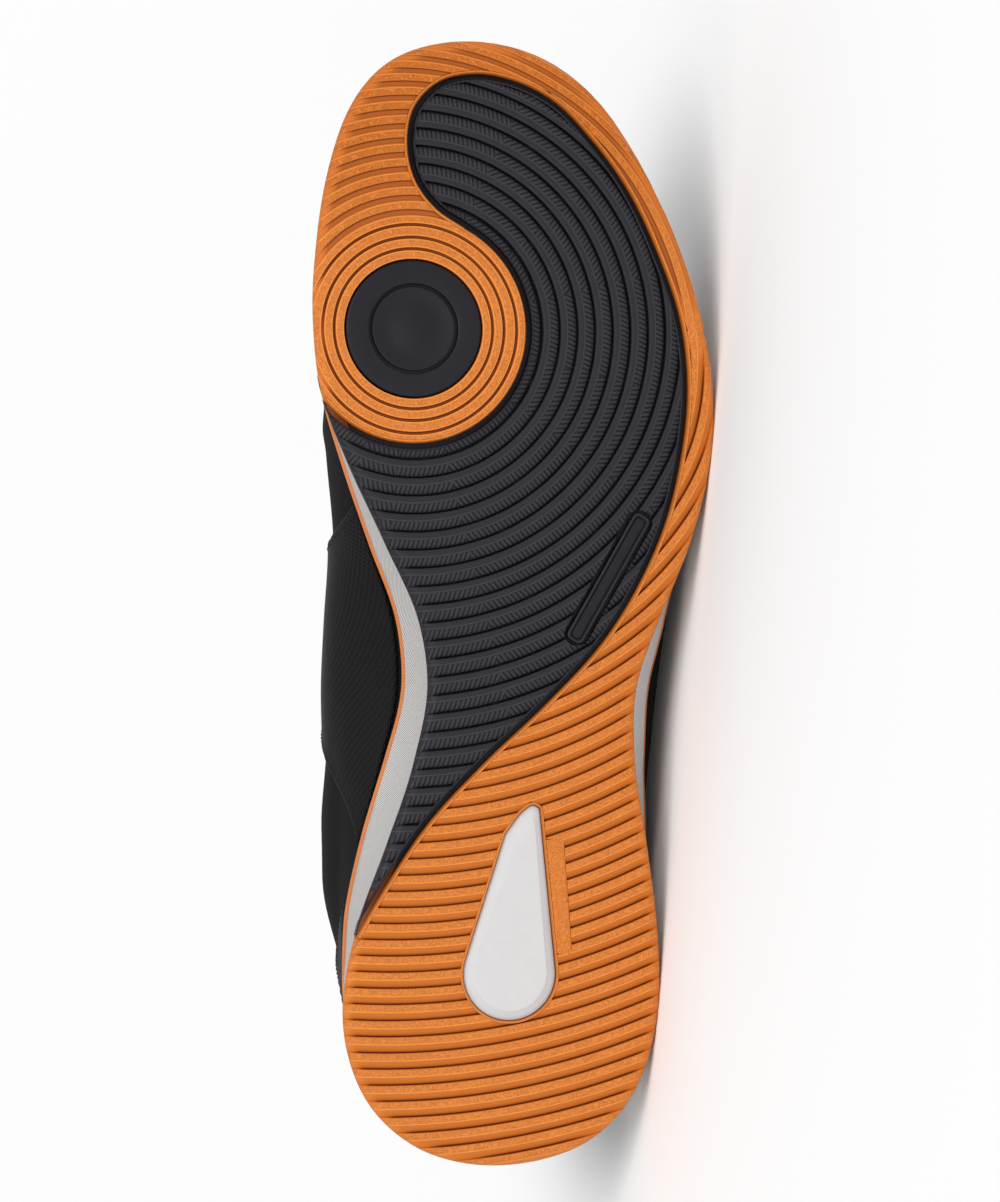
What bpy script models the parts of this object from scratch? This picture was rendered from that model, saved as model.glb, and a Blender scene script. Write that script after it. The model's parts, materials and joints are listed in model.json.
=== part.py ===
"""Indoor soccer shoe for the left foot, lying on its outer side.

The shoe is worked out in its own frame in millimetres: x runs from heel to toe, y to the outer (lateral)
side and z up from the ground under the sole. A parent empty then lays it on its side on the floor.
"""

import math
from collections import namedtuple

import bmesh
import bpy
import numpy as np
from mathutils import Matrix

MM = 0.001

# Sole: plate of rubber under a foam wedge
LENGTH = 292.0
TOE_SPRING = 13.0
SPRING_START = 205.0
SPRING_POWER = 1.8
HEEL_BEVEL = 2.5
HEEL_BEVEL_END = 22.0
ARCH_RISE = 1.2
ARCH_X = 118.0
ARCH_HALF = 30.0
OUTSOLE_THICK = 5.0
BAY_DEPTH = 3.6
SETTING_GAP = 0.35
RIM_WIDTH = 1.0
LINE_THICK = 1.2
LINE_WIDTH = 6.5
LINE_PROUD = 0.7
CLEAR = 0.3
SOLE_STATIONS = 36
MIDSOLE_STATIONS = 28
TOE_BENDS = np.linspace(SPRING_START, 288.0, 7)
HEEL_BENDS = np.linspace(HEEL_BEVEL_END / 2, HEEL_BEVEL_END, 2)
ARCH_BENDS = np.linspace(ARCH_X - ARCH_HALF, ARCH_X + ARCH_HALF, 4)
Roll = namedtuple("Roll", "inset z")
ROLLED_EDGE = [Roll(2.8, 0.0), Roll(0.0, 1.9), Roll(0.4, OUTSOLE_THICK)]
MIDSOLE_FOOT_INSET = 1.4
INSOLE_INSET = 1.0

# Tread: saw-tooth ribs on circles about the pivot, whose centre drifts as the circles grow towards the heel
PIVOT = np.array([216.4, -26.4])
DRIFT = np.array([-9.5, -5.8])
DRIFT_START = 65.0
DRIFT_SPAN = 104.0
RIB_DEPTH = 1.3
RIB_SLOPE = 1.8
RIB_BACK = 0.15
HEEL_RIB_FIRST = 66.5
HEEL_RIB_PITCH = 3.81
TOE_RIB_FIRST = 34.7
TOE_RIB_PITCH = 3.75
PANEL_RIB_FIRST = 33.85
PANEL_RIB_PITCH = 4.65
PANEL_WAIST_PITCH = 4.33
RIB_END = 215.0
RIB_SHORTEST = 6.0
RIB_STEP = 24.0
RIB_OVERRUN = 2.0
CUTTER_UNDER = 5.0
DISC_RADIUS = 17.7
DISC_SIDES = 22
WELL_SIDES = 32
TURN_RINGS = (20.7, 23.7, 27.0)
TURN_RING_HALF = 0.5
RING_RADIUS = 30.0
RING_LAST_ANGLE = 236.0
RING_STEPS = 18
PANEL_STEPS = 36
PANEL_OVERHANG = 4.0
PANEL_TURN_IN = 8.0

# Heel insert: a drop of one circle and a tip
DROP_CENTRE = np.array([49.9, -1.3])
DROP_RADIUS = 12.1
DROP_BEVEL = 2.4
DROP_BEVEL_DEPTH = 0.9
DROP_RIM = 1.0
DROP_STEPS = 16
DROP_TIP = ((86.0, -2.4), (92.4, 3.0), (93.4, 4.8), (92.6, 6.6))
DROP_FIELD_TIP = ((82.6, -0.4), (88.4, 3.4), (89.8, 4.5), (89.0, 5.3))
PLAIN_STRIP = ((53.0, 10.0), (88.0, 6.0), (88.0, 12.6), (53.0, 15.2))
BAR_ENDS = np.array([(166.3, 32.8), (137.9, 16.6)])
BAR_RADIUS = 2.4

# Upper
WALL = 2.0
COLLAR_PAD = 3.0
COLLAR_PAD_FRONT = 108.0
COLLAR_PAD_RAMP = 14.0
COLLAR_PAD_LOW = 1.35
COLLAR_PAD_RISE = 0.5
FEATHER_INSET = 0.8
OVERLAY_GAP = 0.65
OVERLAY_OUT = 1.5
TONGUE_GAP = 1.1
TONGUE_THICK = 4.0
TONGUE_FRONT = 197.0
TONGUE_REAR = 114.0
TONGUE_ACROSS = (2.6, 2.0, 1.5, 1.0, 0.5, 0.0, -0.5, -1.0, -1.5, -2.0, -2.6)
TONGUE_FREE = ((8.0, 0.76), (17.0, 0.76), (24.0, 0.7), (27.0, 0.5))
TONGUE_LEAN = (-0.72, 0.0, 0.69)
TONGUE_STATIONS = 8
INSOLE_THICK = 4.0
UPPER_ROWS = (0.0, 0.4, 0.75, 1.05, 1.25, 1.45, 1.65, 1.83, 2.0)
SADDLE_LOW = 0.08
SADDLE_HIGH = 1.66
SADDLE_FRONT = (172.0, -9.0)
SADDLE_REAR = (79.0, 26.0)
SADDLE_ROWS = 8
SADDLE_STATIONS = 10
COUNTER_LOW = 0.1
COUNTER_HIGH = 1.4
COUNTER_FRONT = (72.0, -18.0)
COUNTER_ROWS = 6
COUNTER_STATIONS = 21
EYESTAY_FRONT = 208.0
EYESTAY_REAR = 113.0
EYESTAY_STEPS = 7
EYESTAY_ROWS = 4
EYESTAY_DEPTH = 0.3
EYESTAY_FRONT_SHARE = 0.45
EYESTAY_FRONT_STEPS = (0.0, 0.06, 0.25, 0.56)
ACROSS_STEP = 0.16
LEAD_STEP = 0.04
EYELET_ROWS = 6
EYELET_FIRST = 181.0
EYELET_LAST = 119.0
LACE_WIDTH = 6.0
LACE_THICK = 1.6
LACE_GAP = 0.5
LACE_STEPS = 4
LACE_REST_SHARE = 0.12
UNDER_LIFT = 0.35
OVER_LIFT = 1.2
EYELET_ACROSS = 1.75

# Where the shoe may touch the floor: the sole's edge at forefoot and heel, and the upper
SOLE_EDGE_TOP = 30.0
FOREFOOT_FROM = 150.0
HEEL_UP_TO = 100.0
UPPER_FROM = 38.0
SETTLING_ROUNDS = 12
SHARP_ANGLE = math.radians(35)

Width = namedtuple("Width", "x medial lateral")
SOLE = [
    Width(292.0, -9.4, -9.4), Width(286.6, -30.2, 12.0), Width(276.2, -40.2, 24.2),
    Width(260.5, -46.8, 34.3), Width(239.7, -51.0, 43.6), Width(218.9, -52.3, 49.9),
    Width(198.1, -49.7, 52.8), Width(182.5, -43.6, 52.0), Width(161.6, -33.8, 46.8),
    Width(140.8, -24.6, 38.3), Width(125.2, -22.2, 33.0), Width(104.4, -25.9, 32.2),
    Width(83.6, -33.0, 35.1), Width(62.7, -40.7, 37.8), Width(41.9, -44.6, 38.3),
    Width(21.1, -40.4, 33.0), Width(5.5, -25.9, 19.0), Width(0.0, -4.0, -4.0)]

# How far the top edge of the midsole stands out past the outsole, and its height over the ground line
Wedge = namedtuple("Wedge", "x medial lateral top")
MIDSOLE = [
    Wedge(292.0, -3.2, -3.2, 13.0), Wedge(230.0, -3.2, -3.2, 14.0), Wedge(201.0, -2.8, -3.2, 15.0),
    Wedge(182.0, -1.2, -2.6, 16.0), Wedge(162.0, 1.0, -0.4, 17.2), Wedge(150.0, 1.9, 2.6, 18.0),
    Wedge(135.0, 2.9, 5.2, 19.0), Wedge(116.0, 3.5, 6.4, 20.4), Wedge(98.0, 4.0, 5.2, 21.6),
    Wedge(82.0, 2.9, 3.2, 22.7), Wedge(66.0, 0.2, 0.6, 23.8), Wedge(50.0, -3.2, -1.8, 24.8),
    Wedge(34.0, -5.2, -3.4, 25.4), Wedge(0.0, -4.4, -4.4, 26.0)]

# Rings of the midsole's side: share of the flare, a little extra, and share of the rise
Ring = namedtuple("Ring", "share extra rise")
MIDSOLE_RINGS = [Ring(0.15, -0.9, 0.3), Ring(0.55, -0.3, 0.7), Ring(1.0, 0.0, 0.95), Ring(1.0, -0.8, 1.0)]

# Turning disc from the low dome in its middle over a ring groove to its rounded rim
Turn = namedtuple("Turn", "radius z")
DISC_FACE = [
    Turn(0.0, 0.0), Turn(2.6, 0.15), Turn(6.8, 0.85), Turn(10.7, 0.3), Turn(11.3, 1.1), Turn(11.9, 0.0),
    Turn(DISC_RADIUS - 0.5, 0.0), Turn(DISC_RADIUS, 0.5)]

# Girths of the upper: the widest line (medial, lateral, height) and the line it runs up to, which is the
# ridge of the vamp where the half opening is 0 and the edge of throat and collar where it isn't
Girth = namedtuple("Girth", "x medial lateral wide_z top_x top_y half top_z crown")
GIRTHS = [
    Girth(289.0, -9.6, -9.6, 33.5, 266.0, -9.0, 0.0, 46.5, 1.0),
    Girth(283.0, -27.4, 8.6, 32.5, 263.5, -8.8, 0.0, 47.0, 1.0),
    Girth(272.0, -37.4, 21.9, 30.0, 258.5, -8.6, 0.0, 48.0, 1.0),
    Girth(256.0, -43.2, 32.2, 27.5, 248.0, -7.0, 0.0, 50.2, 1.0),
    Girth(236.0, -47.3, 40.5, 26.0, 231.0, -5.0, 0.0, 54.5, 1.0),
    Girth(214.0, -47.8, 46.0, 26.0, 210.5, -3.2, 0.0, 61.0, 1.0),
    Girth(198.0, -46.0, 48.4, 27.5, 194.5, -2.2, 0.0, 67.2, 1.0),
    Girth(195.5, -45.7, 48.5, 28.0, 193.2, -2.1, 4.8, 67.6, 1.0),
    Girth(190.5, -45.1, 48.5, 29.0, 189.6, -2.0, 8.0, 69.0, 0.98),
    Girth(183.0, -44.2, 48.3, 30.4, 183.0, -1.9, 10.0, 71.8, 0.95),
    Girth(160.0, -41.5, 46.4, 35.5, 160.5, -1.4, 12.2, 81.5, 0.85),
    Girth(140.0, -42.0, 44.8, 39.5, 141.0, -1.0, 14.0, 89.5, 0.75),
    Girth(122.0, -42.2, 43.4, 43.0, 123.0, -0.8, 16.5, 96.5, 0.6),
    Girth(112.0, -41.8, 42.4, 44.0, 113.5, -0.8, 19.0, 99.0, 0.5),
    Girth(103.0, -41.2, 41.3, 45.0, 103.5, -0.8, 24.5, 95.5, 0.35),
    Girth(94.0, -40.7, 40.0, 45.5, 93.0, -0.9, 29.0, 87.5, 0.2),
    Girth(82.0, -40.3, 38.0, 46.0, 80.5, -1.2, 32.0, 78.5, 0.08),
    Girth(66.0, -40.0, 35.2, 45.0, 65.0, -2.0, 33.3, 72.5, 0.0),
    Girth(50.0, -38.2, 32.8, 43.0, 50.5, -2.8, 32.0, 72.0, 0.0),
    Girth(34.0, -35.2, 29.2, 41.5, 36.5, -3.4, 27.5, 75.5, 0.0),
    Girth(20.0, -30.2, 23.5, 40.5, 25.5, -3.8, 20.5, 80.0, 0.0),
    Girth(8.0, -19.4, 12.2, 40.0, 18.0, -4.0, 10.5, 84.5, 0.0),
    Girth(2.0, -4.0, -4.0, 40.0, 15.5, -4.0, 0.0, 86.0, 0.0)]
THROAT_X = 198.0
THROAT_TURN_X = 183.0
THROAT_TOP_X = 112.0
TOE_STATIONS = 12
HEEL_STATIONS = 13
THROAT_TURN_STEPS = 4
THROAT_STEPS = 5

# Pull of the side's curve at its ends: at the feather, under and over the widest line, and at the top,
# where a vamp (crown 1) comes in level and a collar (crown 0) stands upright
FEATHER_SPREAD = 0.5
FEATHER_RISE = 0.15
UNDER_WIDEST = 0.45
Pull = namedtuple("Pull", "vamp collar")
OVER_WIDEST = Pull(0.52, 0.4)
TOP_SPREAD = Pull(0.56, 0.06)
TOP_DROP = Pull(0.0, 0.4)

# Edge of the dark tread panel from its rear tip up the outer side, round the toe and down to the pivot ring
Edge = namedtuple("Edge", "x y")
PANEL_EDGE = [
    Edge(55.6, -44.0), Edge(73.1, -33.8), Edge(88.8, -23.0), Edge(104.4, -8.2), Edge(120.0, 8.6),
    Edge(135.6, 23.0), Edge(151.2, 32.8), Edge(166.8, 39.6), Edge(182.5, 43.5), Edge(200.7, 45.4),
    Edge(218.9, 43.6), Edge(237.1, 37.7), Edge(252.7, 30.6), Edge(265.7, 21.7), Edge(276.2, 11.6),
    Edge(281.0, 2.2), Edge(282.8, -8.2), Edge(280.6, -17.8), Edge(274.0, -24.4), Edge(264.0, -26.5),
    Edge(255.3, -24.8), Edge(248.0, -19.6), Edge(243.2, -12.6)]

ORANGE = (0.60, 0.185, 0.036, 1.0)
DARK_RUBBER = (0.030, 0.029, 0.035, 1.0)
WHITE_FOAM = (0.76, 0.75, 0.75, 1.0)
BLACK_CLOTH = (0.010, 0.010, 0.012, 1.0)
BLACK_OVERLAY = (0.016, 0.016, 0.018, 1.0)
LINING = (0.022, 0.022, 0.024, 1.0)


# Curves and outlines


def smooth(keys, values, at):
    """Value at each key of a smooth curve through a table's rows, whatever way the keys run."""
    keys = np.asarray(keys, float)
    values = np.asarray(values, float)
    if keys[0] > keys[-1]:
        keys, values = keys[::-1], values[::-1]
    at = np.clip(np.asarray(at, float), keys[0], keys[-1])
    slope = np.gradient(values, keys)
    row = np.clip(np.searchsorted(keys, at) - 1, 0, len(keys) - 2)
    span = keys[row + 1] - keys[row]
    t = (at - keys[row]) / span
    rise = values[row] * (1 + 2 * t) * (1 - t) ** 2 + values[row + 1] * t * t * (3 - 2 * t)
    return rise + span * (slope[row] * t * (1 - t) ** 2 + slope[row + 1] * t * t * (t - 1))


def column(table, name):
    return np.array([getattr(row, name) for row in table])


def turn_of(table, x):
    """Angle round a closed outline, 0 at the toe and pi at the heel, where its outer half passes x."""
    toe, heel = table[0].x, table[-1].x
    return np.arccos(np.clip((2 * np.asarray(x, float) - toe - heel) / (toe - heel), -1, 1))


def outline(table, turn):
    """Plan points of a closed outline: x is a cosine of the turn, y runs through the rows of both sides."""
    toe, heel = table[0].x, table[-1].x
    rows = turn_of(table, column(table, "x"))
    keys = np.concatenate([rows[:-1], 2 * math.pi - rows[:0:-1]])
    values = np.concatenate([column(table, "lateral")[:-1], column(table, "medial")[:0:-1]])
    keys = np.concatenate([keys[-3:] - 2 * math.pi, keys, keys[:3] + 2 * math.pi])
    values = np.concatenate([values[-3:], values, values[:3]])
    turn = np.mod(np.asarray(turn, float), 2 * math.pi)
    x = (toe + heel) / 2 + (toe - heel) / 2 * np.cos(turn)
    return np.stack([x, smooth(keys, values, turn)], axis=-1)


def outward(loop):
    """Unit normals of a closed plan loop that runs anticlockwise."""
    along = np.roll(loop, -1, axis=0) - np.roll(loop, 1, axis=0)
    normal = np.stack([along[:, 1], -along[:, 0]], axis=-1)
    return normal / np.linalg.norm(normal, axis=1, keepdims=True)


def offset(loop, distance):
    return loop + outward(loop) * np.reshape(distance, (-1, 1))


def through(points, count):
    """Evenly spaced points on a smooth open curve through a few points."""
    points = np.asarray(points, float)
    length = np.concatenate([[0], np.cumsum(np.linalg.norm(np.diff(points, axis=0), axis=1))])
    at = np.linspace(0, length[-1], count)
    return np.stack([smooth(length, points[:, axis], at) for axis in range(points.shape[1])], axis=-1)


def inside(loop, points):
    """Which plan points lie inside a closed loop, by counting the edges that each one looks across."""
    hit = np.zeros(len(points), bool)
    for a, b in zip(loop, np.roll(loop, -1, axis=0)):
        spans = (a[1] > points[:, 1]) != (b[1] > points[:, 1])
        rise = b[1] - a[1] if b[1] != a[1] else 1.0
        hit ^= spans & (points[:, 0] < a[0] + (points[:, 1] - a[1]) * (b[0] - a[0]) / rise)
    return hit


def ground(x):
    """Height of the tread over the ground line: toe spring, bevelled heel and raised arch."""
    x = np.asarray(x, float)
    toe = TOE_SPRING * np.clip((x - SPRING_START) / (LENGTH - SPRING_START), 0, None) ** SPRING_POWER
    heel = HEEL_BEVEL * np.clip(1 - x / HEEL_BEVEL_END, 0, None) ** 2
    arch = ARCH_RISE * np.clip(1 - ((x - ARCH_X) / ARCH_HALF) ** 2, 0, None) ** 2
    return toe + heel + arch


# Solids


def add_object(name, verts, faces, colour=None, roughness=0.6):
    """A named object from points in millimetres, its faces turned outwards, with its own material."""
    mesh = bpy.data.meshes.new(name)
    mesh.from_pydata([tuple(float(c) * MM for c in v) for v in verts], [], faces)
    bm = bmesh.new()
    bm.from_mesh(mesh)
    bmesh.ops.recalc_face_normals(bm, faces=bm.faces)
    bm.to_mesh(mesh)
    bm.free()
    obj = bpy.data.objects.new(name, mesh)
    bpy.context.scene.collection.objects.link(obj)
    if colour:
        material = bpy.data.materials.new(name)
        material.use_nodes = True
        shader = material.node_tree.nodes["Principled BSDF"]
        shader.inputs["Base Color"].default_value = colour
        shader.inputs["Roughness"].default_value = roughness
        mesh.materials.append(material)
    return obj


def ring_at(loop, z):
    """A plan loop with its heights as a third column."""
    return np.column_stack([loop, np.broadcast_to(z, len(loop))])


def stack(rings, strips=True):
    """Closed solid from rings of equal count, its ends closed by strips from side to side or by one face."""
    count = len(rings[0])
    faces = []
    for level in range(len(rings) - 1):
        low, high = level * count, (level + 1) * count
        for i in range(count):
            k = (i + 1) % count
            faces.append((low + i, low + k, high + k, high + i))
    for base in (0, (len(rings) - 1) * count):
        if strips:
            half = count // 2
            for i in range(half):
                strip = [base + i, base + i + 1, base + count - i - 1, base + (count - i) % count]
                faces.append(tuple(dict.fromkeys(strip)))
        else:
            faces.append(tuple(range(base, base + count)))
    return np.concatenate(rings), faces


def shell(outer, inner, faces):
    """Closed wall between two sheets of the same faces, with a band along every free edge."""
    count = len(outer)
    uses = {}
    for face in faces:
        for a, b in zip(face, face[1:] + face[:1]):
            uses[(a, b)] = True
    walls = [tuple(v + count for v in reversed(face)) for face in faces]
    bands = [(b, a, a + count, b + count) for a, b in uses if (b, a) not in uses]
    return np.concatenate([outer, inner]), list(faces) + walls + bands


def vertex_normals(points, faces):
    normals = np.zeros_like(points)
    for face in faces:
        p = points[list(face)]
        normals[list(face)] += np.cross(p[2] - p[0], p[-1] - p[1])
    return normals / np.linalg.norm(normals, axis=1, keepdims=True)


def turned(profile, centre, sides):
    """Solid turned about an upright axis from (radius, z) points, the first and last of them on it."""
    verts, faces = [], []
    last = len(profile) - 1
    for radius, z in profile:
        spots = 1 if radius == 0 else sides
        for k in range(spots):
            angle = 2 * math.pi * k / sides
            verts.append((centre[0] + radius * math.cos(angle), centre[1] + radius * math.sin(angle), z))
    for level in range(last):
        low = 0 if level == 0 else 1 + (level - 1) * sides
        high = 1 + level * sides
        for k in range(sides):
            n = (k + 1) % sides
            if level == 0:
                faces.append((low, high + k, high + n))
            elif level == last - 1:
                faces.append((low + k, low + n, high))
            else:
                faces.append((low + k, low + n, high + n, high + k))
    return np.array(verts), faces


def cut(obj, tools, operation="DIFFERENCE"):
    """Cuts an object with tools, or keeps what it shares with them, and removes the tools."""
    for tool in tools:
        boolean = obj.modifiers.new(tool.name, "BOOLEAN")
        boolean.operation = operation
        boolean.solver = "EXACT"
        boolean.object = tool
    bm = bmesh.new()
    bm.from_object(obj, bpy.context.evaluated_depsgraph_get())
    obj.modifiers.clear()
    bm.to_mesh(obj.data)
    bm.free()
    for tool in tools:
        bpy.data.objects.remove(tool)


def bend_sole(obj):
    """Divides a flat sole piece across the foot and lifts it along the ground curve."""
    bm = bmesh.new()
    bm.from_mesh(obj.data)
    for x in np.concatenate([TOE_BENDS, HEEL_BENDS, ARCH_BENDS]):
        geom = bm.verts[:] + bm.edges[:] + bm.faces[:]
        bmesh.ops.bisect_plane(bm, geom=geom, dist=1e-7, plane_co=(x * MM, 0, 0), plane_no=(1, 0, 0))
    for vert in bm.verts:
        vert.co.z += float(ground(vert.co.x / MM)) * MM
    bmesh.ops.triangulate(bm, faces=bm.faces)
    bm.to_mesh(obj.data)
    bm.free()


# Sole


def half_turns(count):
    """Turns of a closed outline with the same stations on both sides."""
    return np.arange(2 * count) * math.pi / count


def sole_form(name, colour):
    """The whole rubber plate laid flat, with its rolled lower edge."""
    loop = outline(SOLE, half_turns(SOLE_STATIONS))
    rings = [ring_at(offset(loop, -roll.inset), roll.z) for roll in ROLLED_EDGE]
    return add_object(name, *stack(rings), colour, 0.55)


def panel_loop():
    """Outline of the tread panel: its edge, the pivot ring, and a way round outside the medial edge."""
    edge = through(PANEL_EDGE, PANEL_STEPS)
    first = math.atan2(edge[-1][1] - PIVOT[1], edge[-1][0] - PIVOT[0])
    angles = np.linspace(first, math.radians(RING_LAST_ANGLE), RING_STEPS)[1:]
    ring = PIVOT + RING_RADIUS * np.stack([np.cos(angles), np.sin(angles)], axis=-1)
    outer = offset(outline(SOLE, half_turns(SOLE_STATIONS)), PANEL_OVERHANG)
    front, rear = ring[-1][0] - PANEL_TURN_IN, edge[0][0] + PANEL_TURN_IN
    outer = outer[(outer[:, 1] < 0) & (outer[:, 0] < front) & (outer[:, 0] > rear)]
    outer = outer[np.argsort(-outer[:, 0])]
    return np.concatenate([edge, ring, outer])[::-1]


def drop_loop(radius, tip):
    """Outline of the heel insert: an arc between the tangents from the first and last points of its tip."""
    tangents = []
    for corner, side in ((tip[-1], 1), (tip[0], -1)):
        reach = np.array(corner) - DROP_CENTRE
        tangents.append(math.atan2(reach[1], reach[0]) + side * math.acos(radius / np.linalg.norm(reach)))
    angles = np.linspace(tangents[0], tangents[1] + 2 * math.pi, DROP_STEPS)
    arc = DROP_CENTRE + radius * np.stack([np.cos(angles), np.sin(angles)], axis=-1)
    return np.concatenate([arc, np.array(tip)])


def prism(name, loop, top):
    """Upright cutter that reaches from under the tread to a height in the plate."""
    return add_object(name, *stack([ring_at(loop, -CUTTER_UNDER), ring_at(loop, top)], strips=False))


def tread_centre(radius):
    return PIVOT + DRIFT * max(0.0, radius - DRIFT_START) / DRIFT_SPAN


def groove(radius, angles, slope, back, depth, closed=False):
    """Three-sided cutter along an arc of the tread: a slope going outwards, then a steep wall.

    It starts as far under the tread as a millimetre of depth."""
    reach = 1 + 1 / depth
    centre = tread_centre(radius)
    section = ((radius - slope * reach, -1.0), (radius, depth), (radius + back * reach, -1.0))
    verts, faces = [], []
    for angle in angles:
        along = np.array([math.cos(angle), math.sin(angle)])
        verts += [(*(centre + r * along), z) for r, z in section]
    steps = len(angles)
    for step in range(steps if closed else steps - 1):
        low, high = 3 * step, 3 * ((step + 1) % steps)
        faces += [(low + k, low + (k + 1) % 3, high + (k + 1) % 3, high + k) for k in range(3)]
    if not closed:
        faces += [(0, 1, 2), (3 * steps - 1, 3 * steps - 2, 3 * steps - 3)]
    return verts, faces


def arcs(radius, allowed):
    """Spans of angle on one tread circle whose points are allowed, starting from the medial side."""
    centre = tread_centre(radius)
    angles = np.linspace(-math.pi / 2, 1.5 * math.pi, max(90, int(radius * 6)))
    points = centre + radius * np.stack([np.cos(angles), np.sin(angles)], axis=-1)
    mask = allowed(points)
    spans, first = [], None
    for k, ok in enumerate(np.append(mask, False)):
        if ok and first is None:
            first = k
        elif not ok and first is not None:
            spans.append((angles[first], angles[k - 1]))
            first = None
    return [(a, b) for a, b in spans if (b - a) * radius > RIB_SHORTEST]


def groove_tool(name, radii, allowed):
    """One cutter object with the grooves of all the given circles."""
    verts, faces = [], []
    for radius in radii:
        for first, last in arcs(radius, allowed):
            steps = max(2, math.ceil((last - first) * radius / RIB_STEP))
            part = groove(radius, np.linspace(first, last, steps + 1), RIB_SLOPE, RIB_BACK, RIB_DEPTH)
            faces += [tuple(v + len(verts) for v in face) for face in part[1]]
            verts += part[0]
    return add_object(name, verts, faces)


def from_bar(points):
    """Distance of plan points from the axis of the plain bar in the tread panel."""
    a, b = BAR_ENDS
    t = np.clip((points - a) @ (b - a) / np.dot(b - a, b - a), 0, 1)
    return np.linalg.norm(points - a - t[:, None] * (b - a), axis=1)


def make_outsole():
    panel = panel_loop()
    drop = drop_loop(DROP_RADIUS, DROP_TIP)
    near = offset(outline(SOLE, half_turns(SOLE_STATIONS)), RIB_OVERRUN)
    banked = offset(panel, SETTING_GAP + RIM_WIDTH)
    window = offset(drop, SETTING_GAP)
    strip = np.array(PLAIN_STRIP)
    well = DISC_RADIUS + SETTING_GAP

    def rubber(points):
        clear = np.linalg.norm(points - PIVOT, axis=1) > RING_RADIUS + RIM_WIDTH
        for loop in (banked, offset(drop, DROP_RIM), strip):
            clear &= ~inside(loop, points)
        return clear & inside(near, points)

    obj = sole_form("outsole", ORANGE)
    heel_radii = np.arange(HEEL_RIB_FIRST, RIB_END, HEEL_RIB_PITCH)
    toe_radii = np.arange(TOE_RIB_FIRST, LENGTH - PIVOT[0], TOE_RIB_PITCH)
    tools = [
        prism("bay", offset(panel, SETTING_GAP), BAY_DEPTH), prism("window", window, BAY_DEPTH),
        add_object("well", *turned([(0, -CUTTER_UNDER), (well, -CUTTER_UNDER), (well, BAY_DEPTH),
                                    (0, BAY_DEPTH)], PIVOT, WELL_SIDES)),
        groove_tool("heel_grooves", heel_radii, lambda p: rubber(p) & (p[:, 0] < PIVOT[0])),
        groove_tool("toe_grooves", toe_radii, lambda p: rubber(p) & (p[:, 0] > PIVOT[0] + RIM_WIDTH))]
    full = half_turns(WELL_SIDES // 2)
    for radius in TURN_RINGS:
        ring = groove(radius, full, TURN_RING_HALF, TURN_RING_HALF, RIB_DEPTH, closed=True)
        tools.append(add_object(f"ring_{radius}", *ring))
    cut(obj, tools)
    bend_sole(obj)


def make_tread_panel():
    panel = panel_loop()
    banked = offset(panel, -SETTING_GAP - RIM_WIDTH)
    obj = sole_form("tread_panel", DARK_RUBBER)
    cut(obj, [prism("panel_form", offset(panel, -SETTING_GAP), BAY_DEPTH - CLEAR)], "INTERSECT")
    radii = list(np.arange(PANEL_RIB_FIRST, DRIFT_START + 2, PANEL_RIB_PITCH))
    radii += list(np.arange(radii[-1] + PANEL_WAIST_PITCH, RIB_END, PANEL_WAIST_PITCH))

    def ribbed(points):
        return inside(banked, points) & (from_bar(points) > BAR_RADIUS + RIM_WIDTH)

    cut(obj, [groove_tool("panel_grooves", radii, ribbed)])
    bend_sole(obj)


def make_pivot_disc():
    """Turning disc with a ring groove round the low dome in its middle."""
    back = BAY_DEPTH - CLEAR
    profile = DISC_FACE + [Turn(DISC_RADIUS, back), Turn(0.0, back)]
    bend_sole(add_object("pivot_disc", *turned(profile, PIVOT, DISC_SIDES), DARK_RUBBER, 0.5))


def make_heel_insert():
    field = drop_loop(DROP_RADIUS - DROP_BEVEL, DROP_FIELD_TIP)
    drop = drop_loop(DROP_RADIUS, DROP_TIP)
    rings = [ring_at(field, 0.0), ring_at(drop, DROP_BEVEL_DEPTH), ring_at(drop, BAY_DEPTH - CLEAR)]
    bend_sole(add_object("heel_insert", *stack(rings, strips=False), WHITE_FOAM, 0.5))


# Midsole


def flare(turn, x):
    """How far the midsole's top edge stands out past the outsole on the side that the turn is on."""
    medial = smooth(column(MIDSOLE, "x"), column(MIDSOLE, "medial"), x)
    lateral = smooth(column(MIDSOLE, "x"), column(MIDSOLE, "lateral"), x)
    return np.where(np.mod(turn, 2 * math.pi) > math.pi, medial, lateral)


def midsole_top(x):
    return smooth(column(MIDSOLE, "x"), column(MIDSOLE, "top"), x) + ground(x)


def sole_offset(turn, share=1.0, extra=0.0):
    """Sole outline moved out by a share of the midsole's flare and a little extra."""
    fine = 1e-3
    loop = outline(SOLE, turn)
    along = outline(SOLE, turn + fine) - outline(SOLE, turn - fine)
    normal = np.stack([along[:, 1], -along[:, 0]], axis=-1)
    normal /= np.linalg.norm(normal, axis=1, keepdims=True)
    return loop + normal * (share * flare(turn, loop[:, 0]) + extra)[:, None]


def make_midsole():
    turn = half_turns(MIDSOLE_STATIONS)
    foot = sole_offset(turn, 0.0, -MIDSOLE_FOOT_INSET)
    low = ground(foot[:, 0]) + OUTSOLE_THICK + CLEAR
    rings = [ring_at(foot, low)]
    for ring in MIDSOLE_RINGS:
        loop = sole_offset(turn, ring.share, ring.extra)
        start = ground(loop[:, 0]) + OUTSOLE_THICK + CLEAR
        rings.append(ring_at(loop, start + ring.rise * (midsole_top(loop[:, 0]) - start)))
    add_object("midsole", *stack(rings), WHITE_FOAM, 0.7)


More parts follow.
